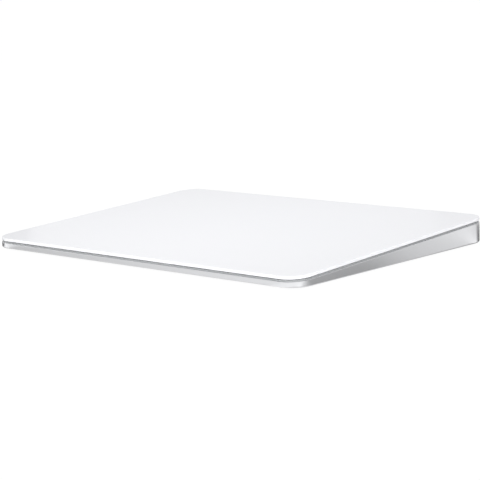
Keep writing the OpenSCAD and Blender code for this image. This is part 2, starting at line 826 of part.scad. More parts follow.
module battery_cell() color(pouch_grey) {
    translate([battery_x0 + cell_l / 2, battery_y, ledge_z])
        rounded_slab(cell_l, cell_d, battery_corner_r, battery_t, battery_edge_r, battery_edge_r);
    translate([battery_x0 + cell_l - lip_l, battery_y - cell_board_l / 2 - lip_t, board_z - lip_t])
        cube([2 * lip_l, cell_board_l + 2 * lip_t, lip_t]);
}

module battery_board() color(board_green)
    translate([battery_x1 - cell_board_w, battery_y - cell_board_l / 2, board_z])
        cube([cell_board_w, cell_board_l, board_t]);

module battery_adhesive() color(film_amber)
    for (end = [-1, 1])
        translate([battery_x0 + cell_l / 2, battery_y + end * cell_d / 4, cover_top + glue_t / 2])
            cube([cell_l - 2 * strip_glue_inset, strip_glue_w, glue_t], center = true);

// The strap from the battery's board to its socket on the logic board
module battery_flex() color(film_amber)
    block([battery_x1 - cell_board_w, strap_y - ribbon_w / 2, board_top],
        [block_x0 + bay_gap, strap_y + ribbon_w / 2, board_top + ribbon_t]);

module battery_connector() color(plastic_white)
    translate([block_x0 + bay_gap, strap_y - socket_l / 2, board_top]) cube([socket_d, socket_l, socket_h]);

// Logic board

module logic_board() color(board_green)
    difference() {
        translate([0, 0, board_z]) linear_extrude(board_t) polygon([
            [strip_x0, strip_y0], [block_x0, strip_y0], [block_x0, block_y0],
            [block_x1, block_y0], [block_x1, board_y1], [strip_x0, board_y1]
        ]);
        for (place = BOARD_SCREWS) translate([place[0], place[1], board_z - cut])
            cylinder(h = board_t + 2 * cut, d = screw_d + hole_gap);
    }

module logic_board_screws() color(steel)
    for (place = BOARD_SCREWS) translate([place[0], place[1], board_top]) {
        cylinder(h = head_h, d = head_d);
        translate([0, 0, -board_t - board_boss_h]) cylinder(h = board_t + board_boss_h, d = screw_d);
    }

module main_controller() color(chip_black)
    translate([(port_w / 2 + saddle_tab + block_x0) / 2 - main_chip_w / 2, strip_y0 + bay_gap, board_top])
        cube([main_chip_w, main_chip_w, main_chip_h]);

module power_chips() color(chip_black)
    for (i = [0, 1])
        translate([block_x0 - power_chip_w - i * power_chip_pitch, strip_y0 + bay_gap, board_top])
            cube([power_chip_w, power_chip_w, power_chip_h]);

module shield_can() color(steel)
    difference() {
        translate([can_x - can_l / 2, can_y0, board_top]) cube([can_l, can_w, can_h]);
        translate([can_x - can_l / 2 + can_t, can_y0 + can_t, board_top - cut])
            cube([can_l - 2 * can_t, can_w - 2 * can_t, can_h - can_t + cut]);
    }

module radio_chip() color(chip_black)
    translate([can_x - radio_chip_w / 2, can_y0 + (can_w - radio_chip_w) / 2, board_top])
        cube([radio_chip_w, radio_chip_w, radio_chip_h]);

module flex_connector() color(plastic_white)
    translate([block_x - socket_l / 2, flex_socket_y - socket_d / 2, board_top])
        cube([socket_l, socket_d, socket_h]);

// Points of a half turn about [y, z], from straight below it to straight above it
function half_turn(y, z, r) = [for (a = [-90 : bend_step : 90]) [y + r * cos(a), z + r * sin(a)]];

// The ribbon leaves the board's socket, turns back over itself and goes into the deck's socket
module sensor_flex() color(film_amber) {
    low_z = board_top + socket_h / 2;
    high_v = sensor_socket_v + socket_d / 2;
    high_depth = sensor_depth + socket_h / 2;
    end = [plan_y(high_v, high_depth), plan_z(high_v, high_depth)];
    bend_z = end[1] + (ribbon_bend_y - end[0]) * tan(tilt);
    bend_r = (bend_z - low_z) / 2;
    start_y = flex_socket_y + socket_d / 2;
    outer = half_turn(ribbon_bend_y, low_z + bend_r, bend_r + ribbon_t / 2);
    inner = half_turn(ribbon_bend_y, low_z + bend_r, bend_r - ribbon_t / 2);
    translate([block_x - ribbon_w / 2, 0, 0]) rotate([90, 0, 90]) linear_extrude(ribbon_w)
        polygon(concat(
            [[start_y, low_z - ribbon_t / 2]], outer, [[end[0], end[1] + ribbon_t / 2]],
            [[end[0], end[1] - ribbon_t / 2]], [for (i = [len(inner) - 1 : -1 : 0]) inner[i]],
            [[start_y, low_z + ribbon_t / 2]]
        ));
}

module antenna() color(copper)
    translate([block_x - antenna_w / 2, antenna_y0, cover_top]) cube([antenna_w, antenna_l, antenna_t]);

// A leaf spring, folded over once, between the board's underside and the antenna
module antenna_contact() color(gold)
    along_y(antenna_y0 + contact_w, contact_w)
        translate([block_x - contact_l / 2, cover_top + antenna_t]) polygon([
            [0, 0], [contact_l, 0], [contact_l, contact_t], [contact_t, contact_t],
            [contact_t, contact_rise - contact_t], [contact_l, contact_rise - contact_t],
            [contact_l, contact_rise], [0, contact_rise]
        ]);

// Port

module port_shell() color(steel)
    along_y(port_y0, port_l) translate([0, port_z]) difference() {
        pill(port_w, port_h);
        pill(port_w - 2 * port_wall, port_h - 2 * port_wall);
    }

module port_tongue() color(chip_black) {
    along_y(port_y0, port_back) translate([0, port_z]) pill(port_w - 2 * port_wall, port_h - 2 * port_wall);
    along_y(port_y0, port_back + tongue_l) translate([0, port_z]) square([tongue_w, tongue_t], center = true);
}

module port_contacts() color(gold)
    for (i = [0 : contact_count - 1], face = [0, 1])
        translate([(i - (contact_count - 1) / 2) * contact_pitch, port_y0 + port_back, port_z])
            mirror([0, 0, face]) translate([-pin_w / 2, 0, tongue_t / 2]) cube([pin_w, pin_l, pin_t]);

// A sheet-metal bridge that holds the port down on the board
module port_saddle() color(steel)
    along_y(port_y0 + port_back, saddle_l) translate([0, board_top]) difference() {
        inner_w = port_w + 2 * saddle_gap;
        inner_h = port_h + saddle_gap;
        union() {
            translate([-inner_w / 2 - saddle_t, 0]) square([inner_w + 2 * saddle_t, inner_h + saddle_t]);
            translate([-inner_w / 2 - saddle_tab, 0]) square([inner_w + 2 * saddle_tab, saddle_t]);
        }
        translate([-inner_w / 2, -cut]) square([inner_w, inner_h + cut]);
    }

// Power switch

// The green plate on the floor of the recess, with the slot for the stem
module switch_liner() color(flag_green)
    along_y(recess_y, liner_t) translate([switch_x + switch_travel / 2, switch_z]) difference() {
        pill(knob_w + switch_travel + knob_gap, knob_h + knob_gap);
        square([stem_w + switch_travel + 2 * knob_gap, stem_h + 2 * knob_gap], center = true);
    }

module switch_knob() color(plastic_white)
    difference() {
        union() {
            along_y(knob_y0, knob_t) translate([switch_x, switch_z]) pill(knob_w, knob_h);
            along_y(yoke_y1, knob_y0 + knob_t - yoke_y1) translate([switch_x, switch_z])
                square([stem_w, stem_h], center = true);
        }
        for (i = [0 : groove_count - 1])
            translate([switch_x + (i - (groove_count - 1) / 2) * groove_pitch, knob_y0 + knob_t, switch_z])
                cube([groove_w, 2 * groove_d, groove_h], center = true);
    }

// The fork that holds the lever and carries the knob's stem
module switch_yoke() color(chip_black)
    difference() {
        block([switch_x - yoke_w / 2, yoke_y0, switch_z - yoke_h / 2],
            [switch_x + yoke_w / 2, yoke_y1, switch_z + yoke_h / 2]);
        block([switch_x - lever_w / 2 - yoke_gap, yoke_y0 - cut, switch_z - yoke_h],
            [switch_x + lever_w / 2 + yoke_gap, lever_y1 + yoke_gap, switch_z + yoke_h]);
    }

module switch_lever() color(plastic_white)
    block([switch_x - lever_w / 2, lever_y0, switch_z - lever_h / 2],
        [switch_x + lever_w / 2, lever_y1, switch_z + lever_h / 2]);

module slide_switch() color(steel)
    difference() {
        middle = switch_x + switch_travel / 2;
        slot_w = lever_w + switch_travel + 2 * yoke_gap;
        slot_h = lever_h + 2 * yoke_gap;
        translate([middle - slider_w / 2, slider_y1 - slider_d, board_top])
            cube([slider_w, slider_d, slider_h]);
        translate([middle - slot_w / 2, lever_y0 - yoke_gap, switch_z - slot_h / 2])
            cube([slot_w, lever_l, slot_h]);
    }

touch_glass();
glass_film();
sensor_board();
touch_controller();
sensor_connector();
stiffener_plate();
attractor_bar();
attractor_screws();
flexure_screws();
for (c = CORNERS) {
    flexure(c);
    strain_gauge(c);
    gel_pad(c);
    foot(c);
}
case_frame();
bottom_cover();
cover_adhesive();
dust_seal();
haptic_bracket();
haptic_core(-1);  // haptic_core_left
haptic_core(1);  // haptic_core_right
haptic_coil(-1);  // haptic_coil_left
haptic_coil(1);  // haptic_coil_right
haptic_screws();
battery_cell();
battery_board();
battery_adhesive();
battery_flex();
battery_connector();
logic_board();
logic_board_screws();
main_controller();
power_chips();
radio_chip();
shield_can();
flex_connector();
sensor_flex();
antenna();
antenna_contact();
port_shell();
port_tongue();
port_contacts();
port_saddle();
switch_knob();
switch_yoke();
switch_lever();
slide_switch();
switch_liner();
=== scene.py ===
import json
import math

import bmesh
import bpy
from mathutils import Matrix, Vector


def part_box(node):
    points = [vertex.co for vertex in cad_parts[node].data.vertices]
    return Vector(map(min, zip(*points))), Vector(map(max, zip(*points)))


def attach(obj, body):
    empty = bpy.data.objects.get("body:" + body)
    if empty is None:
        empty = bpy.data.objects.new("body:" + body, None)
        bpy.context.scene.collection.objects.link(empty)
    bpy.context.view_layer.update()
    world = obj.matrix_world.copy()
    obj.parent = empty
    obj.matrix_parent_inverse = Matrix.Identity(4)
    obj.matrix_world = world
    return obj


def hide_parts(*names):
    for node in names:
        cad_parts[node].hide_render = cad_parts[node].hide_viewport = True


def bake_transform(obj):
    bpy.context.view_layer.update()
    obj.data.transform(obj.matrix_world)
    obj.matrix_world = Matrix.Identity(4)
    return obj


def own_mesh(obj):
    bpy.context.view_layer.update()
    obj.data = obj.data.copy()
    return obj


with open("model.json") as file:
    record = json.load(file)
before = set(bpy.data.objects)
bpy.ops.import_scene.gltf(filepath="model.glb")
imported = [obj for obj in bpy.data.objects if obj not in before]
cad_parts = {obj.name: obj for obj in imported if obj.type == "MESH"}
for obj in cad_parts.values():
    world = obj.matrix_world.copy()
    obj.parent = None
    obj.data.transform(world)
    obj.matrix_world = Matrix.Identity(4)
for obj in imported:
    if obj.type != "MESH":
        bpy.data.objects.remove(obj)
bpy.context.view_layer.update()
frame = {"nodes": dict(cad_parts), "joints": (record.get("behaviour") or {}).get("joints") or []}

# Case frame: a wedge-shaped wall with a ledge, two cross ribs and bosses, open above and below.
# It is milled from one block of aluminium, bead-blasted and anodised silver.
# The wall is a loft of its cross-section around the pad's outline; ribs are joined on and openings cut out.

mm = 0.001
case_low, case_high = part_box("case_frame")
half_w, half_d = case_high.x, case_high.y
corner_r = 8 * mm
front_top = 4.9 * mm
glass_t = 1.15 * mm
rim_gap = 0.85 * mm
rim_depth = glass_t + rim_gap
wall_t = 2 * mm
base_edge_r = 0.8 * mm
rim_edge_r = 0.1 * mm
groove_w = 1.6 * mm
groove_d = 0.5 * mm
ledge_w = 3 * mm
ledge_t = 0.75 * mm
ledge_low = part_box("cover_adhesive")[1].z
ledge_high = ledge_low + ledge_t
slope = Vector(next(j["axis"] for j in frame["joints"] if j["name"] == "haptic_shift"))
tilt = math.atan2(slope.z, slope.y)


class Wire:
    """A node socket that takes part in Python arithmetic: each operation adds a node to the same tree."""

    def __init__(self, tree, socket=None):
        self.tree = tree
        self.socket = socket

    def node(self, kind, settings=None, sockets=None, out=0):
        """Adds a node, sets its settings and then its sockets, and gives one of its outputs."""
        made = self.tree.nodes.new(kind)
        for name, value in (settings or {}).items():
            setattr(made, name, value)
        for name, value in (sockets or {}).items():
            for one in value if isinstance(value, list) else [value]:
                if isinstance(one, Wire):
                    self.tree.links.new(one.socket, made.inputs[name])
                else:
                    made.inputs[name].default_value = one
        return Wire(self.tree, made.outputs[out])

    def math(self, operation, *values):
        return self.node("ShaderNodeMath", {"operation": operation}, dict(enumerate(values)))

    def __add__(self, other):
        return self.math("ADD", self, other)

    def __sub__(self, other):
        return self.math("SUBTRACT", self, other)

    def __rsub__(self, other):
        return self.math("SUBTRACT", other, self)

    def __mul__(self, other):
        return self.math("MULTIPLY", self, other)

    __radd__ = __add__
    __rmul__ = __mul__

    def feeds(self, socket, node="Principled BSDF"):
        """Links this output to a socket of a node that the tree already has."""
        self.tree.links.new(self.socket, self.tree.nodes[node].inputs[socket])


def new_finish(name, **constants):
    """A material whose shader has these constant values, and a wire to start its nodes from."""
    material = bpy.data.materials.new(name)
    material.use_nodes = True
    shader = material.node_tree.nodes["Principled BSDF"]
    for socket, value in constants.items():
        shader.inputs[socket.replace("_", " ")].default_value = value
    return material, Wire(material.node_tree)


def place(start, stretch=(1, 1, 1)):
    """Object coordinates in metres, stretched."""
    here = start.node("ShaderNodeTexCoord", out="Object")
    return start.node("ShaderNodeMapping", sockets={"Vector": here, "Scale": stretch})


def noise(start, scale, detail=2.0, stretch=(1, 1, 1)):
    sockets = {"Vector": place(start, stretch), "Scale": scale, "Detail": detail}
    return start.node("ShaderNodeTexNoise", sockets=sockets)


def blend(start, share, first, second):
    """A colour between two others."""
    ends = [tone if isinstance(tone, Wire) else (*tone, 1) for tone in (first, second)]
    return start.node("ShaderNodeMix", {"data_type": "RGBA"}, {0: share, 6: ends[0], 7: ends[1]}, out=2)


def bump(start, height, depth):
    return start.node("ShaderNodeBump", sockets={"Height": height, "Distance": depth})


def grey(level, blue=1.0):
    """A colour of one level, with its blue a little off."""
    return (level, level * (1 + blue) / 2, level * blue)


def shade(tone, share):
    return tuple(part * share for part in tone)


def deck_z(y, depth):
    """Height of the plane that lies at a depth under the glass top."""
    return front_top + (y + half_d) * math.tan(tilt) - depth / math.cos(tilt)


def level(z):
    return lambda y: z


def under_glass(depth):
    return lambda y: deck_z(y, depth)


def rounded_rect(half_x, half_y, radius, steps=20):
    """Points of a rectangle with round corners, counter-clockwise."""
    points = []
    for corner, (side, end) in enumerate(((1, 1), (-1, 1), (-1, -1), (1, -1))):
        for i in range(steps + 1):
            a = math.pi / 2 * (corner + i / steps)
            x = side * (half_x - radius) + radius * math.cos(a)
            y = end * (half_y - radius) + radius * math.sin(a)
            points.append((x, y))
    return points


def arc(first, last, steps):
    """Angles from a first to a last one, in equal steps."""
    return [first + (last - first) * i / steps for i in range(steps + 1)]


def quarter(radius, steps=4):
    """Places along a quarter round, from its second face to its first, as distances in from the two."""
    if radius == 0:
        return [(0, 0)]
    return [(radius * (1 - math.sin(a)), radius * (1 - math.cos(a))) for a in arc(0, math.pi / 2, steps)]


def loft(name, rings, looped=False):
    """A mesh object through rings of points, with caps, or looped from its last ring to its first."""
    count = len(rings[0])
    points = [point for ring in rings for point in ring]
    faces = []
    for r in range(len(rings) if looped else len(rings) - 1):
        here, there = r * count, (r + 1) % len(rings) * count
        for i in range(count):
            j = (i + 1) % count
            faces.append((here + i, here + j, there + j, there + i))
    if not looped:
        faces.append(range(count))
        faces.append(range(len(points) - count, len(points)))
    mesh = bpy.data.meshes.new(name)
    mesh.from_pydata(points, [], faces)
    shape = bmesh.new()
    shape.from_mesh(mesh)
    bmesh.ops.remove_doubles(shape, verts=shape.verts, dist=1e-7)
    bmesh.ops.recalc_face_normals(shape, faces=shape.faces)
    shape.to_mesh(mesh)
    shape.free()
    piece = bpy.data.objects.new(name, mesh)
    bpy.context.scene.collection.objects.link(piece)
    return piece


def block(name, low, high, radius, under=0.0, over=0.0, top=None):
    """An upright block with round corners and rounded lower and upper edges. Its top may slope with y."""
    middle, half = (low + high) / 2, (high - low) / 2
    top = top or level(high.z)

    def ring(inset, height):
        outline = rounded_rect(half.x - inset, half.y - inset, max(radius - inset, radius / 10), 4)
        return [(middle.x + x, middle.y + y, height(middle.y + y)) for x, y in outline]

    rings = [ring(inset, level(low.z + up)) for inset, up in quarter(under)]
    rings += [ring(inset, lambda y, fall=fall: top(y) - fall) for fall, inset in quarter(over)]
    return loft(name, rings)


def turned(name, profile, steps=32):
    """A piece turned about the z axis through pairs of radius and height, with flat ends."""
    turn = [2 * math.pi * i / steps for i in range(steps)]
    return loft(name, [[(r * math.cos(a), r * math.sin(a), z) for a in turn] for r, z in profile])


def upright_ring(middle, half_x, half_z, radius, y):
    """A rectangle with round corners that stands across the y axis."""
    return [(middle.x + x, y, middle.z + z) for x, z in rounded_rect(half_x, half_z, radius, 8)]


def upright(name, middle, half, radius, section, looped=False):
    """A loft of upright rectangles about a middle, each drawn in by an inset at its place in y."""
    return loft(name, [upright_ring(middle, half.x - inset, half.z - inset, radius - inset, y)
                       for inset, y in section], looped)


def as_mesh(piece):
    """Turns a piece's modifiers into its plain mesh."""
    graph = bpy.context.evaluated_depsgraph_get()
    made = bpy.data.meshes.new_from_object(piece.evaluated_get(graph))
    piece.modifiers.clear()
    old, piece.data = piece.data, made
    bpy.data.meshes.remove(old)


def carve(piece, tool, operation="DIFFERENCE"):
    """Cuts a tool out of a piece, or joins it on, and removes the tool."""
    change = piece.modifiers.new("carve", "BOOLEAN")
    change.object = tool
    change.operation = operation
    change.solver = "EXACT"
    as_mesh(piece)
    bpy.data.objects.remove(tool)


def weld(piece, tool):
    """Joins a tool on to a piece and removes the tool."""
    carve(piece, tool, "UNION")


def settle(piece, angle=40):
    """Smooth shading with hard edges past an angle, and with flat faces that stay flat beside round ones."""
    piece.data.shade_smooth()
    piece.data.set_sharp_from_angle(angle=math.radians(angle))
    piece.modifiers.new("flats", "WEIGHTED_NORMAL").keep_sharp = True
    as_mesh(piece)


def dress(piece, slot, material, *nodes):
    """Settles a finished piece, gives it its material and hides the nodes that it replaces. The slot is not
    used.
    """
    settle(piece)
    piece.data.materials.clear()
    piece.data.materials.append(material)
    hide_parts(*nodes)


def stands_for(piece, body, slot, material, *nodes):
    """Dresses a finished piece and lets it ride on a body."""
    dress(piece, slot, material, *nodes)
    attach(piece, body)


def new_tree(name, **sizes):
    """A Geometry Nodes tree that works on a piece's mesh, and the wires of its inputs by name."""
    tree = bpy.data.node_groups.new(name, "GeometryNodeTree")
    tree.interface.new_socket("mesh", in_out="OUTPUT", socket_type="NodeSocketGeometry")
    for size, kind in {"mesh": "Geometry", "material": "Material", **sizes}.items():
        tree.interface.new_socket(size, in_out="INPUT", socket_type="NodeSocket" + kind)
    source = tree.nodes.new("NodeGroupInput")
    return tree, {socket.name: Wire(tree, socket) for socket in source.outputs if socket.name}


def end_tree(shape, material):
    """Ends a tree: its instances are made real and get the material."""
    real = shape.node("GeometryNodeRealizeInstances", sockets={"Geometry": shape})
    done = shape.node("GeometryNodeSetMaterial", sockets={"Geometry": real, "Material": material})
    shape.tree.nodes.new("NodeGroupOutput")
    done.feeds(0, "Group Output")


def grow(piece, tree, **sizes):
    """Runs a tree on a piece with these sizes and keeps the plain mesh."""
    change = piece.modifiers.new(tree.name, "NODES")
    change.node_group = tree
    for socket in tree.interface.items_tree:
        if socket.in_out == "INPUT" and socket.name in sizes:
            change[socket.identifier] = sizes[socket.name]
    as_mesh(piece)


copies, given = new_tree("copies", columns="Int", rows="Int", across="Float", along="Float", skip="Int",
                         slope="Float", middle="Vector")
start = given["mesh"]
grid = start.node("GeometryNodeMeshGrid", sockets={
    "Size X": (given["columns"] - 1) * given["across"], "Size Y": (given["rows"] - 1) * given["along"],
    "Vertices X": given["columns"], "Vertices Y": given["rows"]})
skipped = start.math("COMPARE", start.node("GeometryNodeInputIndex"), given["skip"], 0.5)
placed = start.node("GeometryNodeInstanceOnPoints", sockets={
    "Points": grid, "Selection": 1 - skipped, "Instance": start})
turn = start.node("ShaderNodeCombineXYZ", sockets={"X": given["slope"]})
end_tree(start.node("GeometryNodeTransform", sockets={
    "Geometry": start.node("GeometryNodeRealizeInstances", sockets={"Geometry": placed}),
    "Translation": given["middle"], "Rotation": turn}), given["material"])


def spread(piece, material, columns, rows, across, along, middle, slope=0.0, skip=-1):
    """Sets copies of a piece in columns and rows about a middle, in a plane that slopes up with y."""
    grow(piece, copies, material=material, columns=columns, rows=rows, across=across, along=along, skip=skip,
         slope=slope, middle=list(middle))


aluminium, start = new_finish("anodised_aluminium", Metallic=1.0)
blasted = noise(start, 5200, detail=3)
cloud = noise(start, 18)
silver = (0.7, 0.704, 0.72)
blend(start, cloud, shade(silver, 0.945), silver).feeds("Base Color")
(0.26 + 0.1 * blasted).feeds("Roughness")
bump(start, blasted, 0.006 * mm).feeds("Normal")


def case_ring(inset, height):
    """The pad's outline drawn in by an inset, with its height as a function of y."""
    outline = rounded_rect(half_w - inset, half_d - inset, corner_r - inset)
    return [(x, y, height(y)) for x, y in outline]


case_rings = [case_ring(inset, level(case_low.z + up)) for inset, up in quarter(base_edge_r, 6)]
case_rings += [case_ring(inset, under_glass(rim_depth + fall)) for fall, inset in quarter(rim_edge_r, 3)]
case_rings += [
    case_ring(wall_t - groove_w, under_glass(rim_depth)),
    case_ring(wall_t - groove_w, under_glass(rim_depth + groove_d)),
    case_ring(wall_t, under_glass(rim_depth + groove_d)),
    case_ring(wall_t, level(ledge_high)),
    case_ring(wall_t + ledge_w, level(ledge_high)),
    case_ring(wall_t + ledge_w, level(ledge_low)),
    case_ring(wall_t, level(ledge_low)),
    case_ring(wall_t, level(case_low.z)),
]
case = loft("case_frame_body", case_rings, looped=True)

# Ribs from side wall to side wall, and a boss from the wall under the root of each spring arm
rib_t = 3 * mm
rib_depth = 2.9 * mm
boss_depth = 3.55 * mm
boss_margin = 1 * mm
milled_r = 0.4 * mm
in_wall = half_w - wall_t / 2
bracket_low, bracket_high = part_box("haptic_bracket")
rib_ys = (bracket_low.y + rib_t / 2, bracket_high.y - rib_t / 2)
corners = ("front_left", "front_right", "rear_left", "rear_right")
arm_boss_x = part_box("gel_pad_front_right")[0].x - boss_margin
for corner in corners:
    side = 1 if "right" in corner else -1
    pad_low, pad_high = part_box("gel_pad_" + corner)
    ends = sorted((side * arm_boss_x, side * in_wall))
    boss_low = Vector((ends[0], pad_low.y - boss_margin, ledge_low))
    boss_high = Vector((ends[1], pad_high.y + boss_margin, 0))
    weld(case, block("boss", boss_low, boss_high, milled_r, over=milled_r / 2, top=under_glass(boss_depth)))
for y, reach in zip(rib_ys, (arm_boss_x + boss_margin, in_wall)):
    rib_low = Vector((-reach, y - rib_t / 2, ledge_low))
    rib_high = Vector((reach, y + rib_t / 2, 0))
    weld(case, block("rib", rib_low, rib_high, milled_r, over=milled_r, top=under_glass(rib_depth)))

# Bosses under the board's three screws, and a web from the second rib to the front boss
screw_d = 1.5 * mm
head_d = 2.8 * mm
board_boss_r = 2.75 * mm
tapped_gap = 0.05 * mm
tapped_r = screw_d / 2 + tapped_gap
screws_low, screws_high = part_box("logic_board_screws")
board_low, board_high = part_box("logic_board")
board_middle = (screws_low + screws_high) / 2
board_screws = {"columns": 2, "rows": 2, "across": screws_high.x - screws_low.x - head_d,
                "along": screws_high.y - screws_low.y - head_d, "skip": 0,
                "middle": (board_middle.x, board_middle.y, 0)}
front_boss = Vector((screws_high.x - head_d / 2, screws_low.y + head_d / 2, board_low.z))
web_t = 1.92 * board_boss_r
web_low = Vector((front_boss.x - web_t / 2, rib_ys[1], ledge_low))
web_high = Vector((front_boss.x + web_t / 2, front_boss.y + board_boss_r / 4, board_low.z))
weld(case, block("web", web_low, web_high, milled_r))
boss = turned("boss", [(board_boss_r, ledge_low), (board_boss_r, board_low.z)])
spread(boss, aluminium, **board_screws)
weld(case, boss)
hole = turned("hole", [(tapped_r, ledge_low - mm), (tapped_r, board_low.z + mm)])
spread(hole, aluminium, **board_screws)
carve(case, hole)

# Pocket and holes for the haptic bracket
pocket_gap = 0.15 * mm
bracket_screw_l = 1.9 * mm
bracket_low_screws, bracket_high_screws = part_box("haptic_screws")
bracket_middle = (bracket_low_screws + bracket_high_screws) / 2
bracket_screws = {"columns": 2, "rows": 2, "across": bracket_high_screws.x - bracket_low_screws.x - head_d,
                  "along": rib_ys[1] - rib_ys[0], "middle": (bracket_middle.x, bracket_middle.y, 0)}
gap = Vector((pocket_gap, pocket_gap, 0))
carve(case, block("pocket", bracket_low - gap - Vector((0, 0, mm)), bracket_high + gap, pocket_gap))
hole = turned("hole", [(tapped_r, ledge_low - mm), (tapped_r, ledge_low + bracket_screw_l)])
spread(hole, aluminium, **bracket_screws)
carve(case, hole)


def rear_opening(middle, half, radius, y0, y1, lip):
    """Cuts an opening into the rear wall from y0 out to y1, with a rounded lip."""
    section = [(0, y0)] + [(-out, y1 - depth) for depth, out in quarter(lip)] + [(-lip, y1 + mm)]
    carve(case, upright("opening", middle, half, radius, section))


# The port's hole, the recess of the power switch and the slot for its stem
port_gap = 0.15 * mm
lip_r = 0.2 * mm
switch_travel = 2.4 * mm
stem_half = Vector((1.25 * mm, 0, 0.6 * mm))
port_low, port_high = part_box("port_shell")
port_half = (port_high - port_low) / 2
port_middle = (port_low + port_high) / 2
liner_low, liner_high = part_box("switch_liner")
recess_middle = (liner_low + liner_high) / 2
liner_half = (liner_high - liner_low) / 2
around_y = Vector((1, 0, 1))
hole_half = port_half + around_y * port_gap
recess_half = liner_half + around_y * port_gap / 2
slot_half = stem_half + Vector((switch_travel / 2, 0, 0)) + around_y * port_gap
inner_y = half_d - wall_t - ledge_w
rear_opening(port_middle, hole_half, hole_half.z, inner_y, half_d, lip_r)
rear_opening(recess_middle, recess_half, recess_half.z, liner_low.y, half_d, lip_r)
rear_opening(recess_middle, slot_half, port_gap, inner_y, liner_low.y, 0.0)
stands_for(case, "case", "anodised_aluminium", aluminium, "case_frame")

# Dust seal: a ring of grey foam that keeps crumbs out of the gap under the glass.
# It is cut from closed-cell foam and stands in the step along the inside of the rim.

seal_gap = 0.02 * mm
seal_rise = 0.6 * mm
seal_edge_r = 0.15 * mm
seal_crown = [(0.0, groove_d)] + [(inset, fall - seal_rise) for fall, inset in quarter(seal_edge_r)]
seal_section = [(wall_t - groove_w + seal_gap + inset, depth) for inset, depth in seal_crown]
seal_section += [(wall_t - seal_gap - inset, depth) for inset, depth in reversed(seal_crown)]
seal_rings = [case_ring(inset, under_glass(rim_depth + depth)) for inset, depth in seal_section]
seal = loft("dust_seal_ring", seal_rings, looped=True)


def cells(start, scale):
    """Cells of about one size: zero in the middle of each, and more towards its edges."""
    return start.node("ShaderNodeTexVoronoi", sockets={"Vector": place(start), "Scale": scale})


foam, start = new_finish("seal_foam", Specular_IOR_Level=0.3)
pores = cells(start, 6000)
blend(start, pores, grey(0.3, 1.05), grey(0.43, 1.05)).feeds("Base Color")
(0.8 + 0.15 * pores).feeds("Roughness")
bump(start, pores, 0.05 * mm).feeds("Normal")
stands_for(seal, "case", "seal_foam", foam, "dust_seal")

# Charging port: a steel shell with a rolled mouth, and a black tongue with gold contacts on both faces.
# The shell is drawn from sheet, and the tongue is moulded around the contacts.
# A sheet-metal saddle over the shell holds it down on the logic board.

port_wall = 0.3 * mm
shell_section = [(0.0, port_low.y)]
shell_section += [(port_wall / 2 * (1 - math.cos(a)), port_high.y - port_wall / 2 * (1 - math.sin(a)))
                  for a in arc(0, math.pi, 8)]
shell_section.append((port_wall, port_low.y))
shell = upright("port_shell_sleeve", port_middle, port_half, port_half.z, shell_section, looped=True)


def brushed(name, tone, roughness, stretch=(1, 30, 30)):
    """Rolled or brushed metal: fine lines along one axis vary its tone, its gloss and its relief."""
    metal, start = new_finish(name, Metallic=1.0)
    lines = noise(start, 300, detail=4, stretch=stretch)
    blend(start, lines, shade(tone, 0.8), tone).feeds("Base Color")
    (roughness + 0.15 * lines).feeds("Roughness")
    bump(start, lines, 0.004 * mm).feeds("Normal")
    return metal


def moulded(name, tone, roughness, grain=2500, **constants):
    """Plastic, rubber or film with the fine texture of its mould and faint clouds of tone."""
    finish, start = new_finish(name, **constants)
    texture = noise(start, grain, detail=3)
    blend(start, noise(start, 40), shade(tone, 0.93), tone).feeds("Base Color")
    (roughness + 0.14 * texture).feeds("Roughness")
    bump(start, texture, 0.01 * mm).feeds("Normal")
    return finish


def paint(material, *nodes):
    """Gives pieces that keep their solid shape a finish."""
    for node in nodes:
        frame["nodes"][node].material_slots[0].material = material


sheet_steel = brushed("sheet_steel", (0.62, 0.63, 0.64), 0.24)
chip_black = moulded("chip_black", (0.026, 0.027, 0.03), 0.42)
gold = brushed("gold_contact", (0.83, 0.62, 0.26), 0.18)
stands_for(shell, "case", "sheet_steel", sheet_steel, "port_shell")
paint(sheet_steel, "port_saddle")

contacts_low, contacts_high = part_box("port_contacts")
contact_count = 12
contact_half = Vector((0.13, 0.025, 1.7)) * mm
blade_w = 6.69 * mm
blade_r = 0.1 * mm
blade_half = Vector((blade_w / 2, 0, (contacts_high.z - contacts_low.z) / 2 - 2 * contact_half.y))
tip_taper = 0.5 * mm
taper_inset = 0.05 * mm
tip_inset = 0.14 * mm
plug_chamfer = 0.1 * mm
tongue_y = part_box("port_tongue")[1].y
plug_half = port_half - around_y * port_wall
plug_section = [(0, port_low.y), (0, contacts_low.y - plug_chamfer), (plug_chamfer, contacts_low.y)]
tongue = upright("port_tongue_block", port_middle, plug_half, plug_half.z, plug_section)
blade_section = [(0, port_low.y + mm), (0, tongue_y - tip_taper), (taper_inset, tongue_y - tip_taper / 2),
                 (tip_inset, tongue_y)]
weld(tongue, loft("blade", [
    upright_ring(port_middle, blade_half.x - inset, blade_half.z - inset, blade_r, y)
    for inset, y in blade_section]))
stands_for(tongue, "case", "chip_black", chip_black, "port_tongue")

contact_r = contact_half.y / 2
contact_pitch = (contacts_high.x - contacts_low.x - 2 * contact_half.x) / (contact_count - 1)
faces_apart = contacts_high.z - contacts_low.z - 2 * contact_half.y
contacts = block("port_contact_pins", -contact_half, contact_half, contact_r, contact_r, contact_r)
spread(contacts, gold, contact_count, 2, contact_pitch, faces_apart, (contacts_low + contacts_high) / 2,
       slope=math.pi / 2)
stands_for(contacts, "case", "gold_contact", gold, "port_contacts")

# Power switch: a white knob that slides in a recess of the rear wall, over a plate that shows green when on.
# The knob and the plate are moulded plastic. A fork behind the wall joins the knob to the lever of a small
# steel-cased slide switch, which is soldered to the logic board.

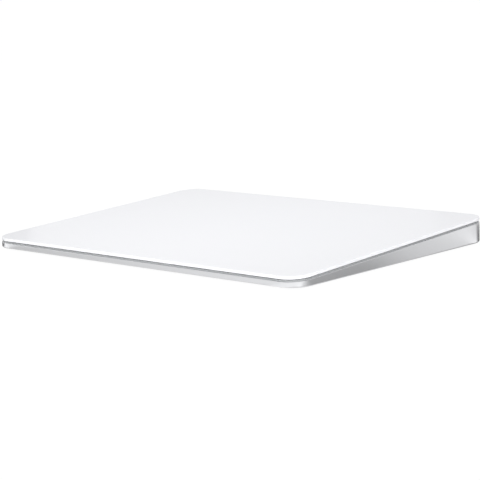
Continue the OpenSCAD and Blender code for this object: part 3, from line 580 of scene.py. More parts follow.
white_plastic = moulded("white_plastic", (0.86, 0.86, 0.85), 0.38)
switch_green, start = new_finish("switch_green")
texture = noise(start, 2500, detail=3)
across = start.node("ShaderNodeSeparateXYZ", sockets={"Vector": place(start)}, out="X")
on_side = start.math("GREATER_THAN", across, recess_middle.x)
off_tone = blend(start, texture, (0.5, 0.505, 0.52), (0.6, 0.605, 0.62))
on_tone = blend(start, texture, (0.09, 0.38, 0.11), (0.11, 0.46, 0.13))
blend(start, on_side, off_tone, on_tone).feeds("Base Color")
(0.4 + 0.14 * texture).feeds("Roughness")
bump(start, texture, 0.01 * mm).feeds("Normal")
liner_chamfer = 0.05 * mm
liner_section = [(0, liner_low.y), (0, liner_high.y - liner_chamfer), (liner_chamfer, liner_high.y)]
liner = upright("switch_liner_plate", recess_middle, liner_half, liner_half.z, liner_section)
slot_section = [(0, liner_low.y - mm), (0, liner_high.y + mm)]
carve(liner, upright("slot", recess_middle, slot_half, port_gap, slot_section))
stands_for(liner, "case", "switch_green", switch_green, "switch_liner")

knob_low, knob_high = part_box("switch_knob")
knob_t = 0.6 * mm
knob_edge_r = 0.25 * mm
knob_chamfer = 0.05 * mm
stem_r = 0.1 * mm
thumb_grooves = 3
groove_pitch = 1 * mm
thumb_half = Vector((0.2, 0.9, 0.2)) * mm
knob_middle = (knob_low + knob_high) / 2
knob_half = (knob_high - knob_low) / 2
knob_section = [(knob_chamfer, knob_high.y - knob_t), (0.0, knob_high.y - knob_t + knob_chamfer)]
knob_section += [(inset, knob_high.y - fall) for fall, inset in quarter(knob_edge_r, 6)]
knob = upright("switch_knob_cap", knob_middle, knob_half, knob_half.z, knob_section)
stem_section = [(0, knob_low.y), (0, knob_high.y - knob_t / 2)]
weld(knob, upright("stem", knob_middle, stem_half, stem_r, stem_section))
thumb_low = -thumb_half - Vector((0, 0, thumb_half.z))
thumb = block("grooves", thumb_low, thumb_half, thumb_half.x, over=thumb_half.x / 2)
spread(thumb, white_plastic, thumb_grooves, 1, groove_pitch, 0.0, (knob_middle.x, knob_high.y, knob_middle.z),
       slope=math.pi / 2)
carve(knob, thumb)
stands_for(knob, "power_switch", "white_plastic", white_plastic, "switch_knob")
paint(white_plastic, "switch_lever")
paint(chip_black, "switch_yoke")
paint(sheet_steel, "slide_switch")

# Haptic engine: two E-shaped iron cores with copper coils on a steel bracket that is screwed under the ribs.
# The cores are stacks of stamped laminations, and the coils are wound from enamelled wire over a sleeve.
# They pull the iron bar under the touch deck, so that the deck gives a small tap.


def striped(name, tones, period, direction, roughness, metallic):
    """A layered material with lines of two tones, one period apart, across one axis."""
    finish, start = new_finish(name, Metallic=metallic)
    bands = start.node("ShaderNodeTexWave", {"bands_direction": direction}, {
        "Vector": place(start), "Scale": math.pi / 10 / period, "Distortion": 0.4}, out="Fac")
    blend(start, bands, *tones).feeds("Base Color")
    (roughness + 0.2 * noise(start, 900)).feeds("Roughness")
    bump(start, bands, 0.01 * mm).feeds("Normal")
    return finish


lamination_t = 0.2 * mm
laminated_iron = striped("magnet_iron", (grey(0.16, 1.03), grey(0.3, 1.03)), lamination_t, "Z", 0.32, 1.0)
paint(laminated_iron, "haptic_core_left", "haptic_core_right", "attractor_bar")
paint(sheet_steel, "haptic_bracket")

copper, start = new_finish("copper", Metallic=1.0, Coat_Weight=0.6, Coat_Roughness=0.12)
drawn = noise(start, 700, detail=3)
blend(start, drawn, (0.62, 0.26, 0.12), (0.78, 0.38, 0.2)).feeds("Base Color")
(0.22 + 0.14 * drawn).feeds("Roughness")
bump(start, drawn, 0.004 * mm).feeds("Normal")

winding, given = new_tree("winding", width="Float", height="Float", corner="Float", length="Float",
                          wire="Float", turns="Int", middle="Vector")
start = given["mesh"]
steps_per_turn = 32
bend_steps = 5
wire_sides = 8
square = start.node("GeometryNodeCurvePrimitiveQuadrilateral", sockets={
    "Width": given["width"], "Height": given["height"]})
lap = start.node("GeometryNodeFilletCurve", {"mode": "POLY"}, {
    "Curve": square, "Count": bend_steps, "Radius": given["corner"]})
strand = start.node("GeometryNodeResampleCurve", sockets={
    "Curve": start.node("GeometryNodeCurvePrimitiveLine"), "Count": given["turns"] * steps_per_turn + 1})
way = start.node("GeometryNodeSplineParameter", out="Factor")
spot = start.node("GeometryNodeSampleCurve", {"mode": "FACTOR", "use_all_curves": True}, {
    "Curves": lap, "Factor": start.math("FRACT", way * given["turns"])}, out="Position")
spot_x = start.node("ShaderNodeSeparateXYZ", sockets={"Vector": spot}, out="X")
spot_y = start.node("ShaderNodeSeparateXYZ", sockets={"Vector": spot}, out="Y")
laid = start.node("ShaderNodeCombineXYZ", sockets={
    "X": spot_x, "Y": (way - 0.5) * given["length"], "Z": spot_y})
coiled = start.node("GeometryNodeSetPosition", sockets={"Geometry": strand, "Position": laid})
wire_round = start.node("GeometryNodeCurvePrimitiveCircle", sockets={
    "Resolution": wire_sides, "Radius": given["wire"]})
drawn_wire = start.node("GeometryNodeCurveToMesh", sockets={
    "Curve": coiled, "Fill Caps": True, "Profile Curve": wire_round})
wound = start.node("GeometryNodeTransform", sockets={"Geometry": drawn_wire, "Translation": given["middle"]})
end_tree(start.node("GeometryNodeJoinGeometry", sockets={"Geometry": [start, wound]}), given["material"])

wire_r = 0.1 * mm
coil_corner_r = 0.5 * mm
tooth_room = Vector((3.05, 0, 0.9)) * mm
tooth_room_r = 0.05 * mm
for side in ("left", "right"):
    coil_low, coil_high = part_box("haptic_coil_" + side)
    coil_middle = (coil_low + coil_high) / 2
    coil_half = (coil_high - coil_low) / 2
    sleeve_half = coil_half - around_y * 1.5 * wire_r
    outer = (sleeve_half.x, sleeve_half.z, coil_corner_r)
    inner = (tooth_room.x, tooth_room.z, tooth_room_r)
    sleeve = ((outer, coil_low.y), (outer, coil_high.y), (inner, coil_high.y), (inner, coil_low.y))
    coil = loft(f"haptic_coil_{side}_winding", [upright_ring(coil_middle, *size, y) for size, y in sleeve],
                looped=True)
    wound_l = 2 * (coil_half.y - wire_r)
    grow(coil, winding, material=copper, width=2 * (coil_half.x - wire_r), height=2 * (coil_half.z - wire_r),
         corner=coil_corner_r - wire_r, length=wound_l, wire=wire_r, turns=round(wound_l / wire_r / 2),
         middle=list(coil_middle))
    stands_for(coil, "case", "copper", copper, "haptic_coil_" + side)

screw_steel = brushed("screw_steel", (0.5, 0.51, 0.52), 0.22)
drive_r = 0.55 * mm
drive_d = 0.3 * mm
drive_floor = 1.3 * drive_d
lobe_count = 6
lobe_share = 0.16


def screw(name, profile, head_z, facing, recess_r=drive_r):
    """A screw about the z axis, with a six-lobed drive recess in the head that faces up or down."""
    made = turned(name, profile)
    lobes = [(a, 1 + lobe_share * math.cos(lobe_count * a)) for a in arc(0, 2 * math.pi, 36)[:-1]]
    recess = ((recess_r, -drive_d), (recess_r, drive_d), (recess_r / 2, drive_floor))
    carve(made, loft("drive", [
        [(r * out * math.cos(a), r * out * math.sin(a), head_z - facing * depth) for a, out in lobes]
        for r, depth in recess]))
    return made


point_l = 0.2 * mm
sunk_chamfer = 0.05 * mm
sunk_h = bracket_high.z - bracket_low.z
screws = screw("haptic_screws_sunk", [
    (head_d / 2 - sunk_chamfer, ledge_low), (head_d / 2, ledge_low + sunk_chamfer),
    (screw_d / 2, ledge_low + sunk_h), (screw_d / 2, bracket_high_screws.z - point_l),
    (screw_d / 3, bracket_high_screws.z)], ledge_low, -1)
spread(screws, screw_steel, **bracket_screws)
stands_for(screws, "case", "screw_steel", screw_steel, "haptic_screws")

# Battery: one flat lithium cell in a crimped pouch of laminated foil, with folded side seams.
# Its sealed lip carries a small protection board, and a flat strap joins that to the logic board.
# Two strips of adhesive hold it to the bottom cover.

cell_low, cell_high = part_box("battery_cell")
cell_board_low, cell_board_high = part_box("battery_board")
lip_l = 4.5 * mm
lip_t = 0.3 * mm
pouch_r = 3 * mm
pouch_edge_r = 0.9 * mm
pouch_crown = 0.25 * mm
crown_reach = 9 * mm
crown_steps = 6
seam_t = 0.2 * mm
seam_overlap = 0.1 * mm
seam_d = seam_t + seam_overlap
seam_r = seam_t / 3
seam_margin = 5 * mm
pouch_high_x = cell_high.x - lip_l
pouch_middle = Vector(((cell_low.x + pouch_high_x) / 2, (cell_low.y + cell_high.y) / 2, 0))
pouch_half = Vector(((pouch_high_x - cell_low.x) / 2, (cell_high.y - cell_low.y) / 2 - seam_t, 0))


def pouch_ring(inset, z):
    outline = rounded_rect(pouch_half.x - inset, pouch_half.y - inset, max(pouch_r - inset, pouch_r / 4), 8)
    return [(pouch_middle.x + x, pouch_middle.y + y, z) for x, y in outline]


shoulder_z = cell_high.z - pouch_crown
pouch_rings = [pouch_ring(inset, cell_low.z + up) for inset, up in quarter(pouch_edge_r, 6)]
pouch_rings += [pouch_ring(inset, shoulder_z - fall) for fall, inset in quarter(pouch_edge_r, 6)]
for i in range(1, crown_steps + 1):
    rise = i / crown_steps
    crown_z = shoulder_z + pouch_crown * rise * (2 - rise)
    pouch_rings.append(pouch_ring(pouch_edge_r + crown_reach * rise, crown_z))
pouch = loft("battery_cell_pouch", pouch_rings)
for seam_y in (cell_low.y, cell_high.y - seam_d):
    seam_low = Vector((cell_low.x + seam_margin, seam_y, cell_low.z + pouch_edge_r))
    seam_high = Vector((pouch_high_x - seam_margin, seam_y + seam_d, shoulder_z - pouch_edge_r))
    weld(pouch, block("seam", seam_low, seam_high, seam_r, seam_r, seam_r))
lip_low = Vector((pouch_high_x - lip_l, cell_board_low.y - lip_t, cell_board_low.z - lip_t))
lip_high = Vector((cell_high.x, cell_board_high.y + lip_t, cell_board_low.z))
weld(pouch, block("lip", lip_low, lip_high, lip_t, lip_t / 4, lip_t / 4))

foil, start = new_finish("battery_pouch", Metallic=0.85)
creases = noise(start, 160, detail=4)
blend(start, creases, grey(0.4, 1.04), grey(0.55, 1.04)).feeds("Base Color")
(0.3 + 0.15 * creases).feeds("Roughness")
bump(start, creases, 0.08 * mm).feeds("Normal")
stands_for(pouch, "case", "battery_pouch", foil, "battery_cell")

adhesive = moulded("adhesive", (0.72, 0.68, 0.58), 0.35, grain=900)
paint(adhesive, "battery_adhesive", "cover_adhesive", "glass_film")

solder_mask, start = new_finish("circuit_board", Coat_Weight=0.4, Coat_Roughness=0.2)
tracks = start.node("ShaderNodeTexBrick", {"offset": 0.37, "squash": 1.6, "squash_frequency": 3}, {
    "Vector": place(start), "Scale": 420.0, "Mortar Size": 0.045, "Brick Width": 1.4,
    "Row Height": 0.3}, out="Fac")
routed = tracks * start.math("GREATER_THAN", noise(start, 90), 0.47)
vias = start.math("LESS_THAN", cells(start, 380.0), 0.1)
masked = blend(start, routed, (0.012, 0.075, 0.045), (0.03, 0.16, 0.09))
blend(start, vias, masked, (0.6, 0.45, 0.2)).feeds("Base Color")
(0.35 - 0.1 * routed).feeds("Roughness")
bump(start, routed, 0.03 * mm).feeds("Normal")
paint(solder_mask, "battery_board", "logic_board", "sensor_board")

ribbon_t = 0.12 * mm


def ribbon(name, path, across):
    """A flat ribbon along a path of points, as wide as the vector across it."""
    rings = []
    for i, spot in enumerate(path):
        ahead = path[min(i + 1, len(path) - 1)] - path[max(i - 1, 0)]
        lift = across.cross(ahead).normalized() * ribbon_t / 2
        rings.append([spot - across / 2 - lift, spot + across / 2 - lift, spot + across / 2 + lift,
                      spot - across / 2 + lift])
    return loft(name, rings)


def ribbon_film(name, direction):
    """Amber film over copper tracks, which lie side by side across one axis."""
    return striped(name, ((0.5, 0.22, 0.04), (0.68, 0.34, 0.08)), 0.5 * mm, direction, 0.24, 0.0)


strap_low, strap_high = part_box("battery_flex")
strap_rise = 0.35 * mm
strap_span = strap_high.x - strap_low.x
strap_steps = 24
hump_start, hump_end = 0.375, 0.875
strap_path = []
for i in range(strap_steps + 1):
    share = i / strap_steps
    way = (share - hump_start) / (hump_end - hump_start)
    hump = math.sin(math.pi * way) ** 2 if 0 < way < 1 else 0.0
    strap_path.append(Vector((strap_low.x + share * strap_span, (strap_low.y + strap_high.y) / 2,
                              strap_low.z + ribbon_t / 2 + strap_rise * hump)))
strap = ribbon("battery_flex_strap", strap_path, Vector((0, strap_high.y - strap_low.y, 0)))
stands_for(strap, "case", "polyimide", ribbon_film("polyimide_strap", "Y"), "battery_flex")

# Logic board: an L-shaped green board with the chips, a shield can, two ribbon sockets and the antenna.
# The chips are black moulded packages, the can is folded sheet steel, and the sockets are white plastic.
# Three screws hold the board on bosses of the case.

chip_edge_r = 0.12 * mm
dimple_r = 0.4 * mm
dimple_floor_r = 0.7 * dimple_r
dimple_d = 0.08 * mm
dimple_inset = 2.5 * dimple_r


def settle_at(piece, spot):
    """Moves a piece that was made about the origin to its place."""
    piece.data.transform(spot if isinstance(spot, Matrix) else Matrix.Translation(spot))


def chip(name, size):
    """A moulded package about the origin, with a dimple by its first lead."""
    made = block(name, -size / 2, size / 2, 2 * chip_edge_r, chip_edge_r / 2, chip_edge_r)
    dimple = turned("dimple", [(dimple_floor_r, size.z / 2 - dimple_d), (dimple_r, size.z / 2 + mm)], 24)
    settle_at(dimple, (dimple_inset - size.x / 2, size.y / 2 - dimple_inset, 0))
    carve(made, dimple)
    return made


for node in ("main_controller", "radio_chip"):
    low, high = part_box(node)
    package = chip(node + "_package", high - low)
    settle_at(package, (low + high) / 2)
    stands_for(package, "case", "chip_black", chip_black, node)
low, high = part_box("power_chips")
power_size = Vector((high.y - low.y, high.y - low.y, high.z - low.z))
packages = chip("power_chips_packages", power_size)
spread(packages, chip_black, 2, 1, high.x - low.x - power_size.x, 0.0, (low + high) / 2)
stands_for(packages, "case", "chip_black", chip_black, "power_chips")

can_low, can_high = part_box("shield_can")
can_t = 0.15 * mm
bend_r = 0.35 * mm
vent_r = 0.35 * mm
vent_rows = 4
vent_pitch = 2.2 * mm
can_middle, can_half = (can_low + can_high) / 2, (can_high - can_low) / 2


def can_ring(inset, z):
    outline = rounded_rect(can_half.x - inset, can_half.y - inset, max(bend_r - inset, bend_r / 3), 4)
    return [(can_middle.x + x, can_middle.y + y, z) for x, y in outline]


inner_bend = reversed(quarter(bend_r - can_t))
can_rings = [can_ring(can_t + inset, can_high.z - can_t - fall) for fall, inset in inner_bend]
can_rings += [can_ring(can_t, can_low.z), can_ring(0, can_low.z)]
can_rings += [can_ring(inset, can_high.z - fall) for fall, inset in quarter(bend_r)]
can = loft("shield_can_lid", can_rings)
vents = turned("vents", [(vent_r, -mm), (vent_r, mm)], 16)
lid_middle = (can_middle.x, can_middle.y, can_high.z)
spread(vents, sheet_steel, vent_rows, vent_rows, vent_pitch, vent_pitch, lid_middle)
carve(can, vents)
stands_for(can, "case", "sheet_steel", sheet_steel, "shield_can")

socket_size = Vector((9, 3, 0.9)) * mm
socket_r = 0.15 * mm
socket_under_r = 0.05 * mm
socket_over_r = 0.1 * mm
mouth_half = Vector((3.6, 1.8, 0.18)) * mm
mouth_r = 0.05 * mm
mouth_drop = 0.05 * mm
flap_half = Vector((4.0, 0.08, 0.12)) * mm


def ribbon_socket(name):
    """A ribbon socket about the origin: its mouth faces +y, and a groove on top parts off its lock bar."""
    made = block(name, -socket_size / 2, socket_size / 2, socket_r, socket_under_r, socket_over_r)
    mouth = Vector((0, socket_size.y / 2, -mouth_drop))
    carve(made, block("mouth", mouth - mouth_half, mouth + mouth_half, mouth_r))
    flap = Vector((0, -socket_size.y / 8, socket_size.z / 2))
    carve(made, block("flap", flap - flap_half, flap + flap_half, flap_half.y / 2))
    return made


for node, facing in (("flex_connector", 0.0), ("battery_connector", math.pi / 2)):
    low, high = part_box(node)
    made = ribbon_socket(node + "_socket")
    settle_at(made, Matrix.Translation((low + high) / 2) @ Matrix.Rotation(facing, 4, "Z"))
    stands_for(made, "case", "white_plastic", white_plastic, node)
paint(copper, "antenna")
paint(gold, "antenna_contact")

# The crown of a pan head: shares of its width, with their depths under its top
head_crown = ((0.5, 0.25 * mm), (0.46, 0.1 * mm), (0.38, 0.0))


def pan_screw(name, tip_z, seat_z, head_z, facing):
    """A screw with a pan head that faces up or down."""
    profile = [(screw_d / 3, tip_z), (screw_d / 2, tip_z + facing * point_l), (screw_d / 2, seat_z),
               (head_d / 2, seat_z)]
    profile += [(share * head_d, head_z - facing * depth) for share, depth in head_crown]
    return screw(name, profile[::facing], head_z, facing)


screws = pan_screw("logic_board_screws_pan", screws_low.z, board_high.z, screws_high.z, 1)
spread(screws, screw_steel, **board_screws)
stands_for(screws, "case", "screw_steel", screw_steel, "logic_board_screws")

# Force mounts: four spring-steel arms that carry the touch deck and bend a little when it is pressed.
# Each root sits on a soft gel pad on its boss, each tip is screwed to the deck's stiffener,
# and a strain gauge on amber film is bonded under each arm.

deck_l = (2 * half_d - glass_t * math.sin(tilt)) / math.cos(tilt)
to_deck = Matrix.Translation((0, -half_d, front_top)) @ Matrix.Rotation(tilt, 4, "X")
arm_x = 69 * mm
tip_setback = 18 * mm
arm_l = 21 * mm
gel_half = Vector((4.5, 4.5, 0.2)) * mm
gel_r = 1 * mm
gel_bulge = 0.15 * mm
gel_rings = []
for a in arc(-math.pi / 2, math.pi / 2, 8):
    inset = gel_bulge * (1 - math.cos(a))
    outline = rounded_rect(gel_half.x - inset, gel_half.y - inset, gel_r, 6)
    gel_rings.append([(x, y, gel_half.z * math.sin(a)) for x, y in outline])
pads = loft("gel_pads_soft", gel_rings)
gel = moulded("gel", (0.42, 0.46, 0.52), 0.22, grain=300, Subsurface_Weight=0.4, Subsurface_Scale=0.5 * mm)
spread(pads, gel, 2, 2, 2 * arm_x, deck_l - 2 * (tip_setback + arm_l),
       to_deck @ Vector((0, deck_l / 2, gel_half.z - boss_depth)), slope=tilt)
dress(pads, "gel", gel, *("gel_pad_" + corner for corner in corners))
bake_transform(pads)

# An arm is made with its tip at the origin, through stations that are each a place in y and half a width
flexure_top = 2.65 * mm
flexure_t = 0.5 * mm
tip_r = 4 * mm
beam_half = 2.5 * mm
root_half = 5 * mm
root_y = arm_l - root_half
fillet_r = 1.5 * mm
root_r = 1 * mm
burr_r = 0.06 * mm
tip_hole_r = 0.85 * mm
tip_steps = 16
beam_steps = 12
tip_start = 0.03
tip_end = math.pi - math.asin(beam_half / tip_r)
tip_round = arc(tip_start, tip_end, tip_steps)
arm_stations = [(-tip_r * math.cos(a), tip_r * math.sin(a)) for a in tip_round]
for i in range(1, beam_steps):
    arm_stations.append((tip_r + (root_y - fillet_r - tip_r) * i / beam_steps, beam_half))
arm_stations += [(root_y - back, beam_half + out) for back, out in quarter(fillet_r)]
arm_stations += [(root_y + on, root_half - inset) for on, inset in reversed(quarter(root_r)[:-1])]
arm_stations += [(root_y + 2 * root_half - back, root_half - inset) for back, inset in quarter(root_r)]

gauge_half = Vector((1.7, 2.5, 0.03)) * mm
gauge_y = (tip_r + root_y) / 2
gauge_z = -flexure_t / 2 - gauge_half.z
gauge_steps = 6
gauge_ys = [gauge_y + gauge_half.y * (2 * i / gauge_steps - 1) for i in range(gauge_steps + 1)]
gauge_outline = rounded_rect(gauge_half.x, gauge_half.z, gauge_half.z / 2, 2)
spring_steel = brushed("spring_steel", (0.5, 0.49, 0.46), 0.2, stretch=(30, 1, 30))
gauge_film = ribbon_film("polyimide_gauge", "X")
for corner in corners:
    side = 1 if "right" in corner else -1
    at_rear = "rear" in corner
    tip_v = deck_l - tip_setback if at_rear else tip_setback
    spot = to_deck @ Matrix.Translation((side * arm_x, tip_v, -flexure_top - flexure_t / 2))
    spot = spot @ Matrix.Rotation(math.pi * at_rear, 4, "Z")
    arm = loft(f"flexure_{corner}_arm", [
        [(x, y, z) for x, z in rounded_rect(half, flexure_t / 2, burr_r, 2)] for y, half in arm_stations])
    carve(arm, turned("hole", [(tip_hole_r, -mm), (tip_hole_r, mm)]))
    settle_at(arm, spot)
    dress(arm, "spring_steel", spring_steel, "flexure_" + corner)
    gauge = loft(f"strain_gauge_{corner}_film", [
        [(x, y, z + gauge_z) for x, z in gauge_outline] for y in gauge_ys])
    settle_at(gauge, spot)
    dress(gauge, "polyimide", gauge_film, "strain_gauge_" + corner)
    for piece in (arm, gauge):
        spot @ Vector((0, root_y, 0))
        spot @ Vector((0, tip_r, 0))
        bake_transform(piece)

# Touch deck: the sensor board under the glass, with its controller and socket, on a steel stiffener plate.
# The board is bonded to the glass by a film, and the stiffener carries the iron bar on three sunk screws.
# A ribbon leads from the sensor's socket back to the logic board in one loose turn.

paint(sheet_steel, "stiffener_plate")


def on_deck_of(node):
    """Where the middle of a node lies on the deck, turned so that its top faces down."""
    low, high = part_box(node)
    spot = to_deck.inverted() @ ((low + high) / 2)
    return to_deck @ Matrix.Translation(spot) @ Matrix.Rotation(math.pi, 4, "Y")


controller_size = Vector((9, 9, 0.8)) * mm
controller = chip("touch_controller_package", controller_size)
settle_at(controller, on_deck_of("touch_controller"))
stands_for(controller, "touch_deck", "chip_black", chip_black, "touch_controller")
socket = ribbon_socket("sensor_connector_socket")
settle_at(socket, on_deck_of("sensor_connector"))
stands_for(socket, "touch_deck", "white_plastic", white_plastic, "sensor_connector")

flex_low, flex_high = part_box("sensor_flex")
flex_r = (flex_high.z - flex_low.z - ribbon_t) / 2
flex_x = (flex_low.x + flex_high.x) / 2
flex_bend = Vector((flex_x, flex_high.y - ribbon_t / 2 - flex_r, (flex_low.z + flex_high.z) / 2))
flex_path = [Vector((flex_x, flex_low.y, flex_low.z + ribbon_t / 2))]
for a in arc(-math.pi / 2, math.pi / 2, 24):
    flex_path.append(flex_bend + flex_r * Vector((0, math.cos(a), math.sin(a))))
flex_path.append(flex_path[-1] - (flex_bend.y - flex_low.y) * Vector((0, 1, math.tan(tilt))))
flex = ribbon("sensor_flex_ribbon", flex_path, Vector((flex_high.x - flex_low.x, 0, 0)))
stands_for(flex, "case", "polyimide", gauge_film, "sensor_flex")
press = next(j for j in frame["joints"] if j["name"] == "pad_press")
flex_rise = (flex_path[0] - flex_path[-1]).dot(Vector(press["axis"]))
1 - press["range_m"][1] / flex_rise
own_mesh(flex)

stiffener_top = 1.7 * mm
stiffener_t = 0.6 * mm
head_h = 0.45 * mm
tip_gap = 0.1 * mm
seat_z = -flexure_top - flexure_t
screws = pan_screw("flexure_screws_pan", -stiffener_top - tip_gap, seat_z, seat_z - head_h, -1)
spread(screws, screw_steel, 2, 2, 2 * arm_x, deck_l - 2 * tip_setback,
       to_deck @ Vector((0, deck_l / 2, 0)), slope=tilt)
stands_for(screws, "touch_deck", "screw_steel", screw_steel, "flexure_screws")

fine_head_d = 2.2 * mm
fine_d = 1.1 * mm
fine_l = 1.3 * mm
fine_point_l = 0.15 * mm
fine_chamfer = 0.04 * mm
fine_drive_r = 0.4 * mm
stiffener_low = -stiffener_top - stiffener_t
fine_end = stiffener_low - fine_l
bar_low, bar_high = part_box("attractor_bar")
bar_v = (to_deck.inverted() @ ((bar_low + bar_high) / 2)).y
screws = screw("attractor_screws_sunk", [
    (fine_d / 3, fine_end), (fine_d / 2, fine_end + fine_point_l), (fine_d / 2, stiffener_low),
    (fine_head_d / 2, -stiffener_top - fine_chamfer), (fine_head_d / 2 - fine_chamfer, -stiffener_top)],
    -stiffener_top, 1, fine_drive_r)
spread(screws, screw_steel, 3, 1, bar_high.x - fine_head_d, 0.0, to_deck @ Vector((0, bar_v, 0)), slope=tilt)
stands_for(screws, "touch_deck", "screw_steel", screw_steel, "attractor_screws")

# Touch glass: the white top of the pad, one plate with finely rounded edges.
# It is satin-etched glass with white ink under it, bonded to the sensor board.

glass_edge_r = 0.3 * mm
glass_under_r = 0.2 * mm


def deck_ring(inset, depth):
    """The glass's outline on the sloping deck, drawn in by an inset, at a depth under its top."""
    outline = rounded_rect(half_w - inset, deck_l / 2 - inset, corner_r - inset)
    return [to_deck @ Vector((x, y + deck_l / 2, -depth)) for x, y in outline]


glass_rings = [deck_ring(inset, glass_t - up) for inset, up in quarter(glass_under_r, 3)]
glass_rings += [deck_ring(inset, fall) for fall, inset in quarter(glass_edge_r, 6)]
glass = loft("touch_glass_plate", glass_rings)

white_glass, start = new_finish("white_glass", IOR=1.5)
etched = noise(start, 900, detail=3)
haze = noise(start, 12)
blend(start, haze, (0.86, 0.865, 0.895), (0.88, 0.885, 0.91)).feeds("Base Color")
(0.32 + 0.06 * etched).feeds("Roughness")
bump(start, etched, 0.002 * mm).feeds("Normal")
stands_for(glass, "touch_deck", "white_glass", white_glass, "touch_glass")

# Bottom cover: a white plastic plate that closes the case from below, with a shallow seat for each foot.
# It is moulded, and a ring of adhesive holds it to the ledge of the case.

cover_low, cover_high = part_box("bottom_cover")
foot_low, foot_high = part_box("foot_front_right")
foot_r = (foot_high.x - foot_low.x) / 2
seat_gap = 0.1 * mm
seat_chamfer = 0.1 * mm
seat_r = foot_r + seat_gap
seat_rim_r = seat_r + seat_chamfer
foot_spread = {"columns": 2, "rows": 2, "across": foot_low.x + foot_high.x,
               "along": -foot_low.y - foot_high.y, "middle": (0, 0, 0)}
cover_edge_r = 0.2 * mm
cover_r = corner_r - (case_high.x - cover_high.x)
cover_section = [(inset, cover_low.z + up) for inset, up in quarter(cover_edge_r)] + [(0, cover_high.z)]
cover = loft("bottom_cover_plate", [
    [(x, y, z) for x, y in rounded_rect(cover_high.x - inset, cover_high.y - inset, cover_r - inset)]
    for inset, z in cover_section])
seat = turned("seat", [(seat_rim_r, cover_low.z - mm), (seat_rim_r, cover_low.z),
                       (seat_r, cover_low.z + seat_chamfer), (seat_r, foot_high.z)], 64)
spread(seat, white_plastic, **foot_spread)
carve(cover, seat)
stands_for(cover, "case", "white_plastic", white_plastic, "bottom_cover")

# Feet: four round rubber feet that lift the case off the desk and keep it from sliding.
# They are moulded from grey rubber and glued into the seats of the bottom cover.

rubber = moulded("foot_rubber", (0.5, 0.505, 0.515), 0.7, grain=1800)
foot_edge_r = 0.25 * mm
foot_top_r = 0.1 * mm
foot_section = [(foot_r - inset, foot_low.z + up) for inset, up in quarter(foot_edge_r)]
foot_section += [(foot_r - inset, foot_high.z - fall) for fall, inset in quarter(foot_top_r)]
feet = turned("rubber_feet", foot_section, 64)
spread(feet, rubber, **foot_spread)
stands_for(feet, "case", "foot_rubber", rubber, *("foot_" + corner for corner in corners))

# Studio: a white floor that keeps a faint shadow, a white surround and soft boxes around the view.
# Grey and bright cards lie or stand around the pad. They glow, and only gloss shows them: they paint
# reflected light and shade, mostly on the metal.
# Gloss leaves out the top light and the two low ones.

floor_half = 60.0
floor_glow = 1.07
glow_share = 0.9


def card(name, points, material):
    """A flat card of the studio through four points."""
    mesh = bpy.data.meshes.new(name)
    mesh.from_pydata(points, [], [(0, 1, 2, 3)])
    mesh.materials.append(material)
    made = bpy.data.objects.new(name, mesh)
    bpy.context.scene.collection.objects.link(made)
    return made


def background_rays(start):
    """One for a ray that shows the background: from the camera, a gloss or a clear piece."""
    rays = [start.node("ShaderNodeLightPath", out=name)
            for name in ("Is Camera Ray", "Is Glossy Ray", "Is Transmission Ray")]
    return start.math("MINIMUM", rays[0] + rays[1] + rays[2], 1.0)


paper, start = new_finish("paper", Base_Color=(*grey(0.8), 1), Roughness=0.9, Specular_IOR_Level=0.0)
glow = start.node("ShaderNodeEmission", sockets={"Color": (*grey(1.0), 1), "Strength": floor_glow})
shaded = Wire(paper.node_tree, paper.node_tree.nodes["Principled BSDF"].outputs[0])
start.node("ShaderNodeMixShader", sockets={0: glow_share * background_rays(start), 1: shaded, 2: glow}).feeds(
    "Surface", "Material Output")
card("floor", [(x * floor_half, y * floor_half, 0) for x, y in ((-1, -1), (1, -1), (1, 1), (-1, 1))], paper)

# The cards glow with the tone at each corner: painted light and shade that only reflections show
painted_reflection, start = new_finish("painted_reflection_card", Base_Color=(*grey(0.0), 1), Roughness=1.0, Specular_IOR_Level=0.0,
                           Emission_Strength=1.0)
start.node("ShaderNodeAttribute", {"attribute_name": "tone"}, out="Fac").feeds("Emission Color")


def gloss_card(name, tones, spots):
    """A glowing card that only gloss shows, a painted reflection, through four spots in millimetres with a
    glow tone at each.
    """
    made = card(name, [Vector(spot) * mm for spot in spots], painted_reflection)
    made.data.attributes.new("tone", "FLOAT", "POINT").data.foreach_set("value", tones)
    made.visible_camera = made.visible_diffuse = made.visible_shadow = made.visible_transmission = False


# On the floor: in front, by the corner, under the pad, and along the right side. They paint the metal's
# reflected light and shade: a front wall that grows lighter towards its corner, a painted highlight at the
# corner, the pad's shadow under it, and a right wall darker by the front.
card_z = 0.1
near_x = 80.3
far_x = 130


def floor_card(name, tones, *places):
    """A gloss card close over the floor, through four places in x and y."""
    gloss_card(name, tones, [(x, y, card_z) for x, y in places])


floor_card("front_card", (0.74, 0.74, 1.1, 1.1), (-72, -58), (-102, -95), (45, -95), (64, -58))
floor_card("corner_card", (1.2, 1.2, 1.6, 1.6), (66, -58), (60, -95), (far_x, -58), (near_x, -54))
# A dark card under the pad: the pad's painted shadow on the floor, for the reflection in the case's lower
# edge
gloss_card("under_card", (0.4, 1.0, 0.4, 0.3), (
    (-79.5, -57, card_z), (79.5, -57, card_z), (80.8, 57, 2 * card_z), (-79.5, 57, card_z)))
# The right cards are painted shade in the right wall's reflection: darkest by the front, lighter towards the
# rear
# Stations along the right side, each with a y by the case, a y far out and a tone
card_stations = ((-54, -46, 0.9), (-47, -30, 0.44), (-16, 26, 0.44), (14, 54, 0.8), (49, 92, 1.0))
for i, (here, there) in enumerate(zip(card_stations, card_stations[1:])):
    near_y, far_y, tone = here
    next_near_y, next_far_y, next_tone = there
    floor_card(f"right_card_{i}", (tone, tone, next_tone, next_tone),
               (near_x, near_y), (far_x, far_y), (far_x, next_far_y), (near_x, next_near_y))


def upright_card(name, tone, first, second, height):
    """A gloss card of one tone that stands on the floor from a first place to a second."""
    low = [(*first, card_z), (*second, card_z)]
    gloss_card(name, [tone] * 4, low + [(*second, height), (*first, height)])
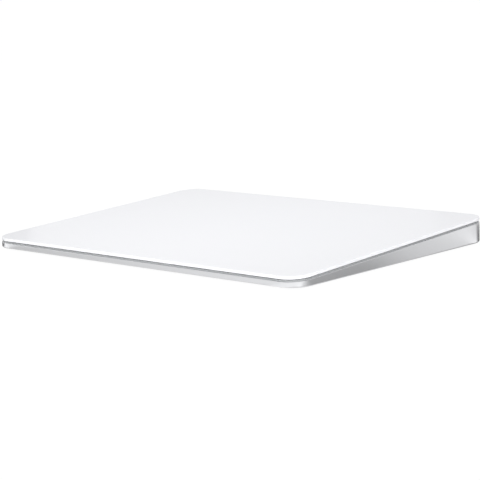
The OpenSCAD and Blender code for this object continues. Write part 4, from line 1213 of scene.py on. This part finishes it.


# Bright and dark pairs that draw the line down each far corner, on the floor and upright behind it: a painted
# highlight beside painted shade in each far corner's reflection
floor_card("rear_bright_card", [1.4] * 4, (near_x, 49), (far_x, 92), (far_x, 115), (near_x, 53))
floor_card("rear_dark_card", [0.2] * 4, (near_x, 54), (112, 105), (35, 105), (68, 58))
upright_card("rear_upright_card", 0.3, (50, 128), (19, 108), 24)
floor_card("left_bright_card", [1.45] * 4, (-72, -58), (-78, -58), (-125, -84), (-108, -95))
floor_card("left_dark_card", [0.15] * 4, (-78.5, -57.5), (-80.2, -30), (-115, -15), (-120, -77))
upright_card("left_upright_card", 0.5, (-118, -8), (-134, -32), 30)

world = bpy.data.worlds.new("studio")
bpy.context.scene.world = world
world.use_nodes = True
start = Wire(world.node_tree)
fill = 0.55
world.node_tree.nodes["Background"].inputs["Color"].default_value = (*grey(1.0), 1)
(fill + (1 - fill) * background_rays(start)).feeds("Strength", "Background")


def softbox(name, spot, width, height, watts, in_gloss=True):
    """A soft light at a spot, turned to the pad. Gloss may leave it out."""
    data = bpy.data.lights.new(name, "AREA")
    data.shape = "RECTANGLE"
    data.size = width
    data.size_y = height
    data.energy = watts
    lamp = bpy.data.objects.new(name, data)
    lamp.location = spot
    lamp.visible_glossy = in_gloss
    lamp.rotation_euler = (-Vector(spot)).to_track_quat("-Z", "Y").to_euler()
    bpy.context.scene.collection.objects.link(lamp)


softbox("top", (0.01, -0.04, 0.27), 0.1, 0.1, 0.24, in_gloss=False)
softbox("left", (-0.9, -0.2, 0.5), 0.5, 0.5, 1.6)
softbox("rear", (0.45, 0.9, 0.6), 0.5, 0.5, 0.5)
softbox("low_front", (0.25, -0.83, 0.05), 0.4, 0.08, 2.9, in_gloss=False)
softbox("low_right", (0.77, -0.4, 0.05), 0.4, 0.08, 2.9, in_gloss=False)

# Camera: a long lens in front of the right corner, close over the desk.
# Its place, turn and shift were fitted to the edges in the photo.

azimuth = math.radians(42.762)
elevation = math.radians(9.43)
roll = math.radians(-1.913)
distance = 625.8 * mm
aim = Vector((0, 0, 4.0 * mm))
back = Vector((math.sin(azimuth) * math.cos(elevation), -math.cos(azimuth) * math.cos(elevation),
               math.sin(elevation)))
lens = bpy.data.cameras.new("camera")
lens.sensor_width = 36
lens.lens = 118.52
lens.shift_x = 0.0084
lens.shift_y = -0.0085
camera = bpy.data.objects.new("camera", lens)
camera.location = aim + distance * back
turn = (-back).to_track_quat("-Z", "Y").to_matrix() @ Matrix.Rotation(roll, 3, "Z")
camera.rotation_euler = turn.to_euler()
bpy.context.scene.collection.objects.link(camera)
bpy.context.scene.camera = camera
bpy.context.scene.view_settings.view_transform = "Standard"
